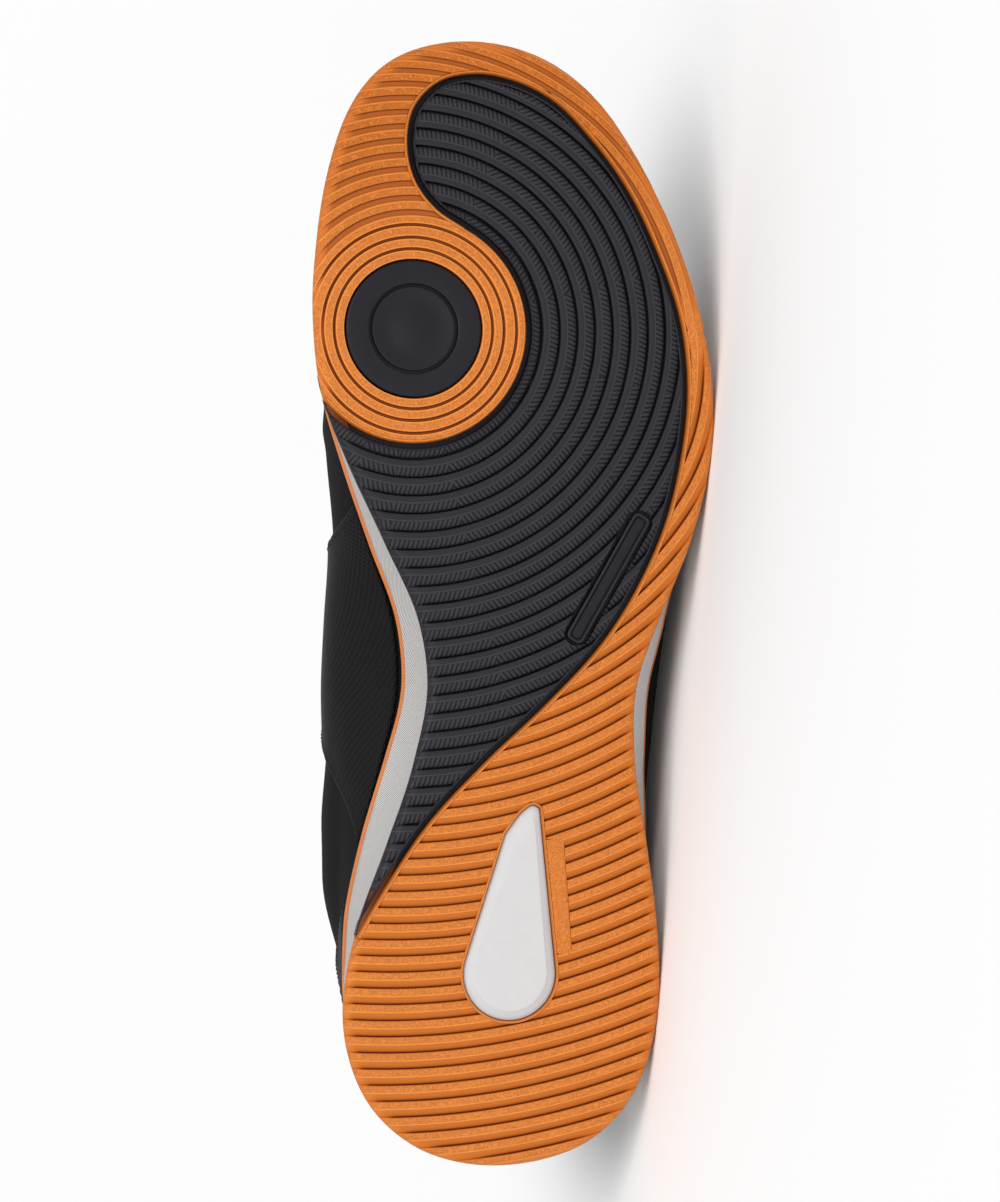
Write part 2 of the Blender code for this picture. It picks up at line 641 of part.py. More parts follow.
def make_midsole_rim():
    """Thin coloured line that lies on the midsole's top edge all the way round."""
    turn = half_turns(MIDSOLE_STATIONS)
    section = (
        (-LINE_WIDTH, 0.0), (LINE_PROUD, 0.0), (LINE_PROUD, LINE_THICK), (-LINE_WIDTH, LINE_THICK))
    rings = []
    for extra, lift in section:
        loop = sole_offset(turn, 1.0, extra)
        rings.append(ring_at(loop, midsole_top(loop[:, 0]) + CLEAR + lift))
    count = len(turn)
    faces = []
    for level in range(len(section)):
        low, high = level * count, (level + 1) % len(section) * count
        faces += [(low + i, low + (i + 1) % count, high + (i + 1) % count, high + i) for i in range(count)]
    add_object("midsole_rim", np.concatenate(rings), faces, ORANGE, 0.6)


def make_insole():
    turn = half_turns(MIDSOLE_STATIONS)
    loop = sole_offset(turn, 1.0, -LINE_WIDTH - INSOLE_INSET)
    top = midsole_top(loop[:, 0]) + CLEAR
    add_object("insole", *stack([ring_at(loop, top), ring_at(loop, top + INSOLE_THICK)]), LINING, 0.9)


# Upper


def girth(name, x):
    return smooth(column(GIRTHS, "x"), column(GIRTHS, name), x)


def surface(x, side, height):
    """Points of the upper's outer face at stations x, on side 1 lateral or -1 medial.

    Height is 0 at the feather line over the midsole, 1 on the widest line and 2 at the top."""
    x, side, height = np.broadcast_arrays(*(np.asarray(value, float) for value in (x, side, height)))
    shape = x.shape
    x, side, height = x.ravel(), side.ravel(), height.ravel()
    turn = turn_of(GIRTHS, x)
    turn = np.where(side > 0, turn, 2 * math.pi - turn)
    feather = sole_offset(turn, 1.0, -FEATHER_INSET)
    foot = ring_at(feather, midsole_top(feather[:, 0]) + CLEAR + LINE_THICK + CLEAR)
    wide = ring_at(outline(GIRTHS, turn), girth("wide_z", x))
    across = girth("top_y", x) + side * np.maximum(girth("half", x), 0)
    top = np.column_stack([girth("top_x", x), across, girth("top_z", x)])
    crown = girth("crown", x)[:, None]

    def pull(weights):
        return weights.vamp * crown + weights.collar * (1 - crown)

    rise = (wide - foot) * [0, 0, 1]
    climb = (top - wide) * [0, 0, 1]
    spread = (wide - top) * [1, 1, 0]
    bulge = foot + FEATHER_SPREAD * (wide - foot) * [1, 1, 0] + FEATHER_RISE * rise
    low = (foot, bulge, wide - UNDER_WIDEST * rise, wide)
    shoulder = top + pull(TOP_SPREAD) * spread - pull(TOP_DROP) * climb
    high = (wide, wide + pull(OVER_WIDEST) * climb, shoulder, top)
    points = np.where((height <= 1)[:, None], bezier(low, height), bezier(high, height - 1))
    return points.reshape(shape + (3,))


def bezier(controls, t):
    t = np.clip(t, 0, 1)[:, None]
    a, b, c, d = controls
    return a * (1 - t) ** 3 + 3 * b * t * (1 - t) ** 2 + 3 * c * t * t * (1 - t) + d * t ** 3


def spans(*knots):
    """Stations in descending spans, each given as (from, to, steps) with the last end kept."""
    parts = [np.linspace(a, b, steps, endpoint=False) for a, b, steps in knots]
    return np.append(np.concatenate(parts), knots[-1][1])


def upper_stations():
    """Stations of the upper's grid: even in turn round toe and heel, closer at the front of the throat."""
    toe, heel = GIRTHS[0].x, GIRTHS[-1].x
    mid, half = (toe + heel) / 2, (toe - heel) / 2
    front = mid + half * np.cos(np.linspace(0, turn_of(GIRTHS, THROAT_X), TOE_STATIONS))
    back = mid + half * np.cos(np.linspace(turn_of(GIRTHS, THROAT_TOP_X), math.pi, HEEL_STATIONS))
    turn_in = (THROAT_X, THROAT_TURN_X, THROAT_TURN_STEPS)
    throat = spans(turn_in, (THROAT_TURN_X, THROAT_TOP_X, THROAT_STEPS))
    return np.concatenate([front[:-1], throat, back[1:]])


def both_sides(stations, rows, shared):
    """Index grids [station, row] of a sheet over both sides, and the (x, side, row) of each point.

    shared(i, j) says whether a point of the medial side is the lateral one."""
    keys, lateral, medial = [], [], []
    for side, grid in ((1, lateral), (-1, medial)):
        for i, x in enumerate(stations):
            line = []
            for j, height in enumerate(rows):
                if side < 0 and shared(i, j):
                    line.append(lateral[i][j])
                else:
                    line.append(len(keys))
                    keys.append((x, side, height))
            grid.append(line)
    return np.array(lateral), np.array(medial), np.array(keys)


def grid_faces(grid, flip=False):
    faces = []
    for i in range(len(grid) - 1):
        for j in range(len(grid[0]) - 1):
            corners = (grid[i][j], grid[i + 1][j], grid[i + 1][j + 1], grid[i][j + 1])
            face = tuple(dict.fromkeys(int(v) for v in corners))
            faces.append(face[::-1] if flip else face)
    return faces


def make_upper():
    stations = upper_stations()
    rows = np.array(UPPER_ROWS)
    last = len(stations) - 1
    throat = int(np.argmin(abs(stations - THROAT_X)))

    def shared(i, j):
        return i in (0, last) or (j == len(rows) - 1 and i <= throat)

    lateral, medial, keys = both_sides(stations, rows, shared)
    outer = surface(keys[:, 0], keys[:, 1], keys[:, 2])
    faces = grid_faces(lateral) + grid_faces(medial, flip=True)
    normals = vertex_normals(outer, faces)
    behind = np.clip((COLLAR_PAD_FRONT - keys[:, 0]) / COLLAR_PAD_RAMP, 0, 1)
    collar = behind * np.clip((keys[:, 2] - COLLAR_PAD_LOW) / COLLAR_PAD_RISE, 0, 1)
    inner = outer - normals * (WALL + COLLAR_PAD * collar * collar * (3 - 2 * collar))[:, None]
    feather = keys[:, 2] == 0
    inner[feather, 2] = outer[feather, 2]
    add_object("upper", *shell(outer, inner, faces), BLACK_CLOTH, 0.8)


def overlay(name, points, faces):
    """Panel laid on the upper, cut between two offsets of its outer face."""
    normals = vertex_normals(points, faces)
    wall = shell(points + normals * OVERLAY_OUT, points + normals * OVERLAY_GAP, faces)
    add_object(name, *wall, BLACK_OVERLAY, 0.6)


def make_saddles():
    """Side panel on each side, from a slanted front edge to a rear edge that leans the other way."""
    rows = np.linspace(SADDLE_LOW, SADDLE_HIGH, SADDLE_ROWS)
    share = np.linspace(0, 1, SADDLE_STATIONS)
    x = (SADDLE_FRONT[0] + SADDLE_FRONT[1] * rows) * (1 - share[:, None])
    x = x + (SADDLE_REAR[0] + SADDLE_REAR[1] * rows) * share[:, None]
    grid = np.arange(x.size).reshape(x.shape)
    for name, side in (("saddle_lateral", 1), ("saddle_medial", -1)):
        points = surface(x, side, np.broadcast_to(rows, x.shape)).reshape(-1, 3)
        overlay(name, points, grid_faces(grid, flip=side < 0))


def make_heel_counter():
    rows = np.linspace(COUNTER_LOW, COUNTER_HIGH, COUNTER_ROWS)
    share = np.linspace(-1, 1, COUNTER_STATIONS)
    front = turn_of(GIRTHS, COUNTER_FRONT[0] + COUNTER_FRONT[1] * rows)
    turn = math.pi - abs(share[:, None]) * (math.pi - front)
    toe, heel = GIRTHS[0].x, GIRTHS[-1].x
    x = (toe + heel) / 2 + (toe - heel) / 2 * np.cos(turn)
    side = np.broadcast_to(np.where(share < 0, 1, -1)[:, None], x.shape)
    points = surface(x, side, np.broadcast_to(rows, x.shape)).reshape(-1, 3)
    overlay("heel_counter", points, grid_faces(np.arange(x.size).reshape(x.shape)))


def make_eyestay():
    """Lace facing round the throat, one piece that passes over the vamp in front of it."""
    front = EYESTAY_FRONT - (EYESTAY_FRONT - THROAT_X) * np.array(EYESTAY_FRONT_STEPS)
    turn_in = (THROAT_X, THROAT_TURN_X, THROAT_TURN_STEPS)
    stations = np.append(front, spans(turn_in, (THROAT_TURN_X, EYESTAY_REAR, EYESTAY_STEPS)))
    rows = np.linspace(0, 1, EYESTAY_ROWS)
    throat = int(np.argmin(abs(stations - THROAT_X)))
    lateral, medial, keys = both_sides(stations, rows, lambda i, j: j == len(rows) - 1 and i <= throat)
    ahead = np.clip((keys[:, 0] - THROAT_X) / (EYESTAY_FRONT - THROAT_X), 0, 1)
    width = EYESTAY_DEPTH * (EYESTAY_FRONT_SHARE + (1 - EYESTAY_FRONT_SHARE) * np.sqrt(1 - ahead ** 2))
    points = surface(keys[:, 0], keys[:, 1], 2 - width * (1 - keys[:, 2]))
    overlay("eyestay", points, grid_faces(lateral) + grid_faces(medial, flip=True))


# Throat


def instep(x, across):
    """Point over the instep: across is over 1 on the lateral facing and under -1 on the medial one.

    Between them it lies over the open throat, on a curve that carries both facings on."""
    if abs(across) >= 1:
        return surface(x, math.copysign(1, across), 2 - ACROSS_STEP * (abs(across) - 1))
    ends, leads = [], []
    for side in (1, -1):
        edge = surface(x, side, 2.0)
        lead = edge - surface(x, side, 2.0 - LEAD_STEP)
        ends.append(edge)
        leads.append(lead / np.linalg.norm(lead))
    span = np.linalg.norm(ends[0] - ends[1])
    t = np.array([(1 - across) / 2])
    controls = (ends[0], ends[0] + leads[0] * span / 3, ends[1] + leads[1] * span / 3, ends[1])
    return bezier(controls, t)[0]


def instep_normal(x, across):
    fine = 0.02
    along = instep(x + 1.0, across) - instep(x - 1.0, across)
    over = instep(x, across + fine) - instep(x, across - fine)
    normal = np.cross(along, over)
    return normal / np.linalg.norm(normal)


def make_tongue():
    """Padded tongue: follows the inside of both facings, bridges the throat and stands free above it."""
    places = np.array(TONGUE_ACROSS)
    sheet = []
    for x in np.linspace(TONGUE_FRONT, TONGUE_REAR, TONGUE_STATIONS):
        sheet.append([instep(x, a) - instep_normal(x, a) * (WALL + TONGUE_GAP) for a in places])
    root = np.array(sheet[-1])
    middle = root[len(places) // 2]
    for reach, width in TONGUE_FREE:
        sheet.append(middle + (root - middle) * [1, width, width] + reach * np.array(TONGUE_LEAN))
    outer = np.array(sheet).reshape(-1, 3)
    faces = grid_faces(np.arange(len(outer)).reshape(len(sheet), len(places)))
    normals = vertex_normals(outer, faces)
    normals *= np.sign(normals[len(places) // 2][2])
    add_object("tongue", *shell(outer, outer - normals * TONGUE_THICK, faces), LINING, 0.85)


def lace_strip(start, end, lift):
    """Flat strip of lace over the instep between two places (x, across), raised a little in the middle."""
    verts, faces = [], []
    path, up = [], []
    for t in np.linspace(0, 1, LACE_STEPS + 1):
        x, across = np.array(start) * (1 - t) + np.array(end) * t
        normal = instep_normal(x, across)
        rest = OVERLAY_OUT + LACE_GAP + LACE_THICK / 2
        height = rest + lift * (LACE_REST_SHARE + math.sin(math.pi * t))
        path.append(instep(x, across) + normal * height)
        up.append(normal)
    path = np.array(path)
    along = np.gradient(path, axis=0)
    for point, normal, lead in zip(path, up, along):
        wide = np.cross(lead, normal)
        wide *= LACE_WIDTH / 2 / np.linalg.norm(wide)
        thick = normal * LACE_THICK / 2
        verts += [point + wide - thick, point + wide + thick, point - wide + thick, point - wide - thick]
    for step in range(LACE_STEPS):
        low, high = 4 * step, 4 * step + 4
        faces += [(low + k, low + (k + 1) % 4, high + (k + 1) % 4, high + k) for k in range(4)]
    last = 4 * LACE_STEPS
    faces += [(0, 1, 2, 3), (last, last + 3, last + 2, last + 1)]
    return verts, faces


def make_lace():
    """The lace's bar at the bottom and its crossings, joined where they meet."""
    rows = np.linspace(EYELET_FIRST, EYELET_LAST, EYELET_ROWS)
    routes = [((rows[0], EYELET_ACROSS), (rows[0], -EYELET_ACROSS), 0.0)]
    for low, high in zip(rows, rows[1:]):
        routes.append(((low, EYELET_ACROSS), (high, -EYELET_ACROSS), UNDER_LIFT))
        routes.append(((low, -EYELET_ACROSS), (high, EYELET_ACROSS), OVER_LIFT))
    lace = add_object("lace", *lace_strip(*routes[0]), BLACK_OVERLAY, 0.9)
    for k, route in enumerate(routes[1:]):
        cut(lace, [add_object(f"run_{k}", *lace_strip(*route))], "UNION")


# Assembly


def resting_turn(points):
    """Rotation that lays the shoe on its lateral side: on the sole's edge, front and rear, and the upper."""
    low = points[:, 2] < SOLE_EDGE_TOP
    forefoot = low & (points[:, 0] > FOREFOOT_FROM)
    heel = low & (points[:, 0] < HEEL_UP_TO)
    zones = (forefoot, heel, points[:, 2] > UPPER_FROM)
    down = np.array([0.0, 1.0, 0.0])
    for _ in range(SETTLING_ROUNDS):
        feet = [points[zone][np.argmax(points[zone] @ down)] for zone in zones]
        down = np.cross(feet[1] - feet[0], feet[2] - feet[0])
        down *= np.sign(down[1]) / np.linalg.norm(down)
    toe = np.array([1.0, 0.0, 0.0])
    toe -= down * (toe @ down)
    toe /= np.linalg.norm(toe)
    return np.array([toe, np.cross(-down, toe), -down])


def lay_down():
    """Parents every piece to an empty that lays the shoe on the floor, centred over the origin."""
    pieces = [obj for obj in bpy.context.scene.objects if obj.type == "MESH"]
    points = np.array([v.co for obj in pieces for v in obj.data.vertices]) / MM
    turn = resting_turn(points)
    laid = points @ turn.T
    low, high = laid.min(axis=0), laid.max(axis=0)
    place = -np.array([(low[0] + high[0]) / 2, (low[1] + high[1]) / 2, low[2]]) * MM
    root = bpy.data.objects.new("shoe", None)
    bpy.context.scene.collection.objects.link(root)
    root.matrix_world = Matrix.Translation(place.tolist()) @ Matrix(turn.tolist()).to_4x4()
    for obj in pieces:
        obj.parent = root
        obj.data.shade_smooth()
        obj.data.set_sharp_from_angle(angle=SHARP_ANGLE)


def main():
    for obj in list(bpy.data.objects):
        bpy.data.objects.remove(obj)
    make_outsole()
    make_tread_panel()
    make_pivot_disc()
    make_heel_insert()
    make_midsole()
    make_midsole_rim()
    make_insole()
    make_upper()
    make_saddles()
    make_heel_counter()
    make_eyestay()
    make_tongue()
    make_lace()
    lay_down()


main()
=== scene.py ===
"""Looks of the indoor soccer shoe: fine tread, foam, cloth and lace on the form of its solids.

Lengths are the shoe's own millimetres: x from heel to toe, y to the outer (lateral) side, z up from the
ground. The shoe lies on its outer side, so a placing matrix takes these points to the world.
"""

import json
import math
from collections import namedtuple

import bmesh
import bpy
import numpy as np
from mathutils import Matrix, Vector


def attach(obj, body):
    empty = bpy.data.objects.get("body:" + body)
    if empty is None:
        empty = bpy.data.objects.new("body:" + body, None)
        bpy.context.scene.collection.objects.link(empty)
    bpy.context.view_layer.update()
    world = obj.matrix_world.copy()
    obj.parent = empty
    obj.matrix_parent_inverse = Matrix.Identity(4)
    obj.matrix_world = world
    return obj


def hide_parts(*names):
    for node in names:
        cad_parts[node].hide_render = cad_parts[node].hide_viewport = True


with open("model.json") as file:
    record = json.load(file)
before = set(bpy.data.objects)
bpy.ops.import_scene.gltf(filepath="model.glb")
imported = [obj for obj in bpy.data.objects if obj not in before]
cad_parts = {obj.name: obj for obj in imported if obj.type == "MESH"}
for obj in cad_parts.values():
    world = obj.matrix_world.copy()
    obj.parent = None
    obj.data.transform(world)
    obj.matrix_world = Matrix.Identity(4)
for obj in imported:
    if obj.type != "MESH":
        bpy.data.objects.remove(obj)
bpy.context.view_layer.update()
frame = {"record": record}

MM = 0.001

# Sole
LENGTH = 292.0
TOE_SPRING = 13.0
SPRING_START = 205.0
SPRING_POWER = 1.8
HEEL_BEVEL = 2.5
HEEL_BEVEL_END = 22.0
ARCH_RISE = 1.2
ARCH_X = 118.0
ARCH_HALF = 30.0
OUTSOLE_THICK = 5.0
BAY_DEPTH = 3.6
CLEAR = 0.3
ROLL_WIDTH = 2.8
ROLL_RISE = 1.9
HELD_BACK = 0.6
SOLE_STEPS = 300
PLATE_STEPS = (12, 90)
PLATE_SIDE_MARGIN = 0.012
PLATE_END_MARGIN = 0.02
# Mark that paints the deep plate with nearly full crevice shade
PLATE_SHADE_MARK = 0.9
SIDE_MARK = 0.05
LINE_THICK = 1.2
LINE_WIDTH = 6.5
LINE_PROUD = 0.7
LINE_SOFT = 0.3
LINE_CORNER = 0.1
INSOLE_INSET = 1.0
INSOLE_THICK = 4.0
INSOLE_REACH = 2.75
INSOLE_STEPS = 200
WEDGE_STEPS = 360
WEDGE_TOP_INSET = LINE_WIDTH + 3.0
WEDGE_PLAIN_RINGS = 3
HEEL_REST = (52.0, -2.0, 0.0)

# Rows round the edge of the sole: a backing behind the grooves that run out there, then its upright side
Hem = namedtuple("Hem", "inset z")
BACKING = [Hem(3.2, 1.42), Hem(2.0, 1.1), Hem(1.0, 0.72), Hem(0.3, 0.5)]
SIDE_WALL = [
    Hem(0.0, 2.35), Hem(0.02, 2.8), Hem(0.15, 3.6), Hem(0.4, 4.7), Hem(0.8, 5.0), Hem(3.0, 5.0)]
# Rows of backing and side that are painted with crevice shade where they lie under the tread panel
PANEL_SHADE_ROWS = len(BACKING) + 3

# Setting of the dark tread panel: the orange lip, the gap with its floor, the panel's rim and dark backing
SETTING_GAP = 0.35
LIP_WIDTH = 1.0
LIP_FALL = 0.5
LIP_DROP = 1.2
PANEL_GAP = 1.0
PANEL_RIM = 0.55
PANEL_RIM_FALL = 0.25
PANEL_RIM_DROP = 0.5
GAP_FLOOR = 2.8
GAP_FLOOR_END = -0.3
BORDER_REACH = 0.4
LAYER_STEPS = (290, 110)
LAYER_HALF = np.array([LENGTH / 2, 60.0])
LAYER_DEPTH = 0.12
LAYER_EDGE = 0.3
LAYER_INSET = 0.1
LAYER_OFF_BAR = 0.4
LAYER_MARK = 0.5
PANEL_WALL = (ROLL_RISE - 0.1, 2.6, BAY_DEPTH - CLEAR)

# Tread: saw-tooth ribs on circles about the pivot, whose centre drifts as the circles grow towards the heel
PIVOT = np.array([216.4, -26.4])
DRIFT = np.array([-9.5, -5.8])
DRIFT_START = 65.0
DRIFT_SPAN = 104.0
RIB_DEPTH = 1.3
HEEL_RIB_FIRST = 66.5
HEEL_RIB_PITCH = 3.81
HEEL_RIB_SLOPE = 1.8
TOE_RIB_FIRST = 30.95
TOE_RIB_PITCH = 3.75
TOE_RIB_SLOPE = 1.65
TOE_RIB_END = 92.0
TOE_FIRST_ROW = 5
PANEL_RIB_FIRST = 33.85
PANEL_RIB_PITCH = 4.65
PANEL_WAIST_PITCH = 4.33
PANEL_WAIST_START = 67.0
PANEL_RIB_SLOPE = 2.7
PANEL_FIRST_SLOPE = 32.6
RIB_END = 219.0
WANDER_START = 48.0
WANDER_RAMP = 12.0
EDGE_FADE_WIDTH = 3.2
EDGE_FADE_LEAST = 0.3
COLUMN_STEP = 1.6
HEEL_SEAM = 0
TOE_SEAM = -180
RING_SEAM = -90
PANEL_SEAM = -45
JUNCTION_FADE = 12.0
END_STEPS = (0.0, 0.25, 0.6, 1.05, 1.6, 2.2, 3.0)
ANGLE_STEPS = 961
SHORT_STEPS = 13
SHORTEST_RUN = 0.8
VANISHING_ROUNDS = 8
BORDER_MARGIN = 0.05
SKIRT = 1.5
DISC_RADIUS = 17.7
DISC_STEPS = 96
TURN_RINGS = (20.7, 23.7, 27.0)
TURN_RING_HALF = 0.45
TURN_RING_DEPTH = 1.0
TURN_RING_BANK = 0.25
TURN_RING_LAND = 0.4
RING_EDGE_ROWS = (25.2, 25.6, 25.8, 25.95, 26.1)
RING_RADIUS = 30.0
RING_LAST_ANGLE = 236.0
OUTLINE_STEPS = 240
PANEL_STEPS = 200
PANEL_OUTER_STEPS = 160
RING_STEPS = 90
PANEL_OVERHANG = 4.0
PANEL_TURN_IN = 8.0

# Heel insert and the bar in the tread panel
DROP_CENTRE = np.array([49.9, -1.3])
DROP_RADIUS = 12.1
DROP_BEVEL = 2.4
DROP_BEVEL_DEPTH = 0.9
DROP_RIM = 0.8
DROP_GAP = 0.08
DROP_STEPS = 72
DROP_TIP_STEPS = 16
DROP_FIELD_CENTRE = np.array([60.0, 1.2])
DROP_FIELD_INSET = 0.06
DROP_FIELD_SHARES = (0.4, 0.75)
DROP_RIM_FALL = 0.3
DROP_RIM_DROP = 0.5
DROP_TIP = ((86.0, -2.4), (92.4, 3.0), (93.4, 4.8), (92.6, 6.6))
DROP_FIELD_TIP = ((82.6, -0.4), (88.4, 3.4), (89.8, 4.5), (89.0, 5.3))
PLAIN_STRIP = ((55.0, 10.0), (84.5, 6.0), (84.5, 12.9), (55.0, 15.1))
STRIP_STEPS = (30, 40)
BAR_ENDS = np.array([(166.3, 32.8), (137.9, 16.6)])
BAR_RADIUS = 3.45
BAR_GROOVE = 1.1
BAR_FRAME = 0.65
BAR_SQUARE = 0.6
BAR_MOAT = 2.6
BAR_FLANGE = 1.8
BAR_STEPS = 72

# Upper
WALL = 2.0
UPPER_STEPS = (70, 18, 44, 64)
UPPER_ROWS = (14, 25)
UPPER_FLAT_ROW = 12
NORMAL_STEP = 0.4
NORMAL_RISE = 0.01
COLLAR_PAD = 3.0
COLLAR_PAD_FRONT = 108.0
COLLAR_PAD_RAMP = 14.0
COLLAR_PAD_LOW = 1.35
COLLAR_PAD_RISE = 0.5
COLLAR_PUFF = 3.2
COLLAR_PUFF_LOW = 0.75
COLLAR_PUFF_FRONT = 114.0
COLLAR_PUFF_REAR = 46.0
COLLAR_PUFF_RAMP = 28.0
FEATHER_INSET = 0.8
RIM_ANGLE = 0.9
RIM_ROUND = 0.7
CREASE_START = 0.35
CREASE_STOP = 0.25
OVERLAY_OUT = 1.5
TONGUE_GAP = 1.1
TONGUE_THICK = 4.0
TONGUE_FRONT = 197.0
TONGUE_REAR = 114.0
TONGUE_HALF = 2.6
TONGUE_FREE = ((8.0, 0.76), (17.0, 0.76), (24.0, 0.7), (27.0, 0.5))
TONGUE_LEAN = np.array([-0.72, 0.0, 0.69])
TONGUE_TIP_ROWS = 5
TONGUE_STEPS = (46, 49)
TONGUE_FREE_STEPS = 22
TONGUE_LEVEL_ROW = 10
TONGUE_EDGE_POWER = 6
SADDLE_LOW = 0.08
SADDLE_HIGH = 1.66
SADDLE_FRONT = (172.0, -9.0)
SADDLE_REAR = (79.0, 26.0)
SADDLE_LONG = (90.0, 70)
SADDLE_TALL = (45.0, 40)
SADDLE_SEAM = (0.03, 0.96)
COUNTER_LOW = 0.1
COUNTER_HIGH = 1.4
COUNTER_FRONT = (72.0, -18.0)
COUNTER_LONG = (150.0, 110)
COUNTER_TALL = (38.0, 30)
COUNTER_SEAM = (0.03, 0.95)
EYESTAY_FRONT = 208.0
EYESTAY_REAR = 113.0
EYESTAY_DEPTH = 0.3
EYESTAY_FRONT_SHARE = 0.45
EYESTAY_TALL = (20.0, 16)
EYESTAY_STEPS = (14, 20, 60)
EYESTAY_CROWD = 1.6
EYESTAY_END_LIFT = ((0, 0.4, 1.0), (0.2, 0.95, 1.0))
EYESTAY_SEAM = (EYESTAY_FRONT - 6.0, EYESTAY_REAR + 1.0)
EYESTAY_SEAM_SHARE = 0.9
ACROSS_STEP = 0.16
LEAD_STEP = 0.04
INSTEP_STEPS = (1.0, 0.02)
EYELET_ROWS = 6
EYELET_FIRST = 181.0
EYELET_LAST = 119.0
EYELET_ACROSS = 1.75
EYELET_RING = 2.5
EYELET_RING_HALF = 0.45
EYELET_SIDES = 28
EYELET_RING_SIDES = 10
EYELET_PROUD = 0.05
LACE_WIDTH = 6.0
LACE_THICK = 1.6
LACE_STEPS = 49
LACE_SIDES = 16
LACE_SINK = 0.6
LACE_DIVE = 0.09
LACE_NARROW = 0.16
LACE_REST = 0.1
LACE_END_LIFT = 0.12
LACE_END_WIDTH = 0.55
LACE_END_THICK = 1.25
LACE_SQUARE = (0.45, 0.8)
LACE_LIFTS = (0.35, 1.7)
STITCH_PITCH = 2.5
STITCH_SIZE = (0.85, 0.24, 0.2)
STITCH_SAMPLES = 600
SEAM_INSET = 2.0
THROAT_X = 198.0
THROAT_TURN_X = 183.0
THROAT_TOP_X = 112.0

Width = namedtuple("Width", "x medial lateral")
SOLE = [
    Width(292.0, -9.4, -9.4), Width(286.6, -30.2, 12.0), Width(276.2, -40.2, 24.2),
    Width(260.5, -46.8, 34.3), Width(239.7, -51.0, 43.6), Width(218.9, -52.3, 49.9),
    Width(198.1, -49.7, 52.8), Width(182.5, -43.6, 52.0), Width(161.6, -33.8, 46.8),
    Width(140.8, -24.6, 38.3), Width(125.2, -22.2, 33.0), Width(104.4, -25.9, 32.2),
    Width(83.6, -33.0, 35.1), Width(62.7, -40.7, 37.8), Width(41.9, -44.6, 38.3),
    Width(21.1, -40.4, 33.0), Width(5.5, -25.9, 19.0), Width(0.0, -4.0, -4.0)]

# How far the midsole's top edge stands out past the outsole, and its height over the ground line
Wedge = namedtuple("Wedge", "x medial lateral top")
MIDSOLE = [
    Wedge(292.0, -3.2, -3.2, 13.0), Wedge(230.0, -3.2, -3.2, 14.0), Wedge(201.0, -2.8, -3.2, 15.0),
    Wedge(182.0, -1.2, -2.6, 16.0), Wedge(162.0, 1.0, -0.4, 17.2), Wedge(150.0, 1.9, 2.6, 18.0),
    Wedge(135.0, 2.9, 5.2, 19.0), Wedge(116.0, 3.5, 6.4, 20.4), Wedge(98.0, 4.0, 5.2, 21.6),
    Wedge(82.0, 2.9, 3.2, 22.7), Wedge(66.0, 0.2, 0.6, 23.8), Wedge(50.0, -3.2, -1.8, 24.8),
    Wedge(34.0, -5.2, -3.4, 25.4), Wedge(0.0, -4.4, -4.4, 26.0)]

# Rings of the midsole's side: share of the flare, a little extra, and share of the rise
Ring = namedtuple("Ring", "share extra rise")
MIDSOLE_RINGS = [
    Ring(0.0, -1.4, 0.0), Ring(0.03, -1.05, 0.1), Ring(0.15, -0.8, 0.3), Ring(0.34, -0.5, 0.5),
    Ring(0.55, -0.3, 0.7), Ring(0.8, -0.1, 0.85), Ring(1.0, 0.0, 0.95), Ring(1.0, -0.25, 0.985),
    Ring(1.0, -0.8, 1.0)]

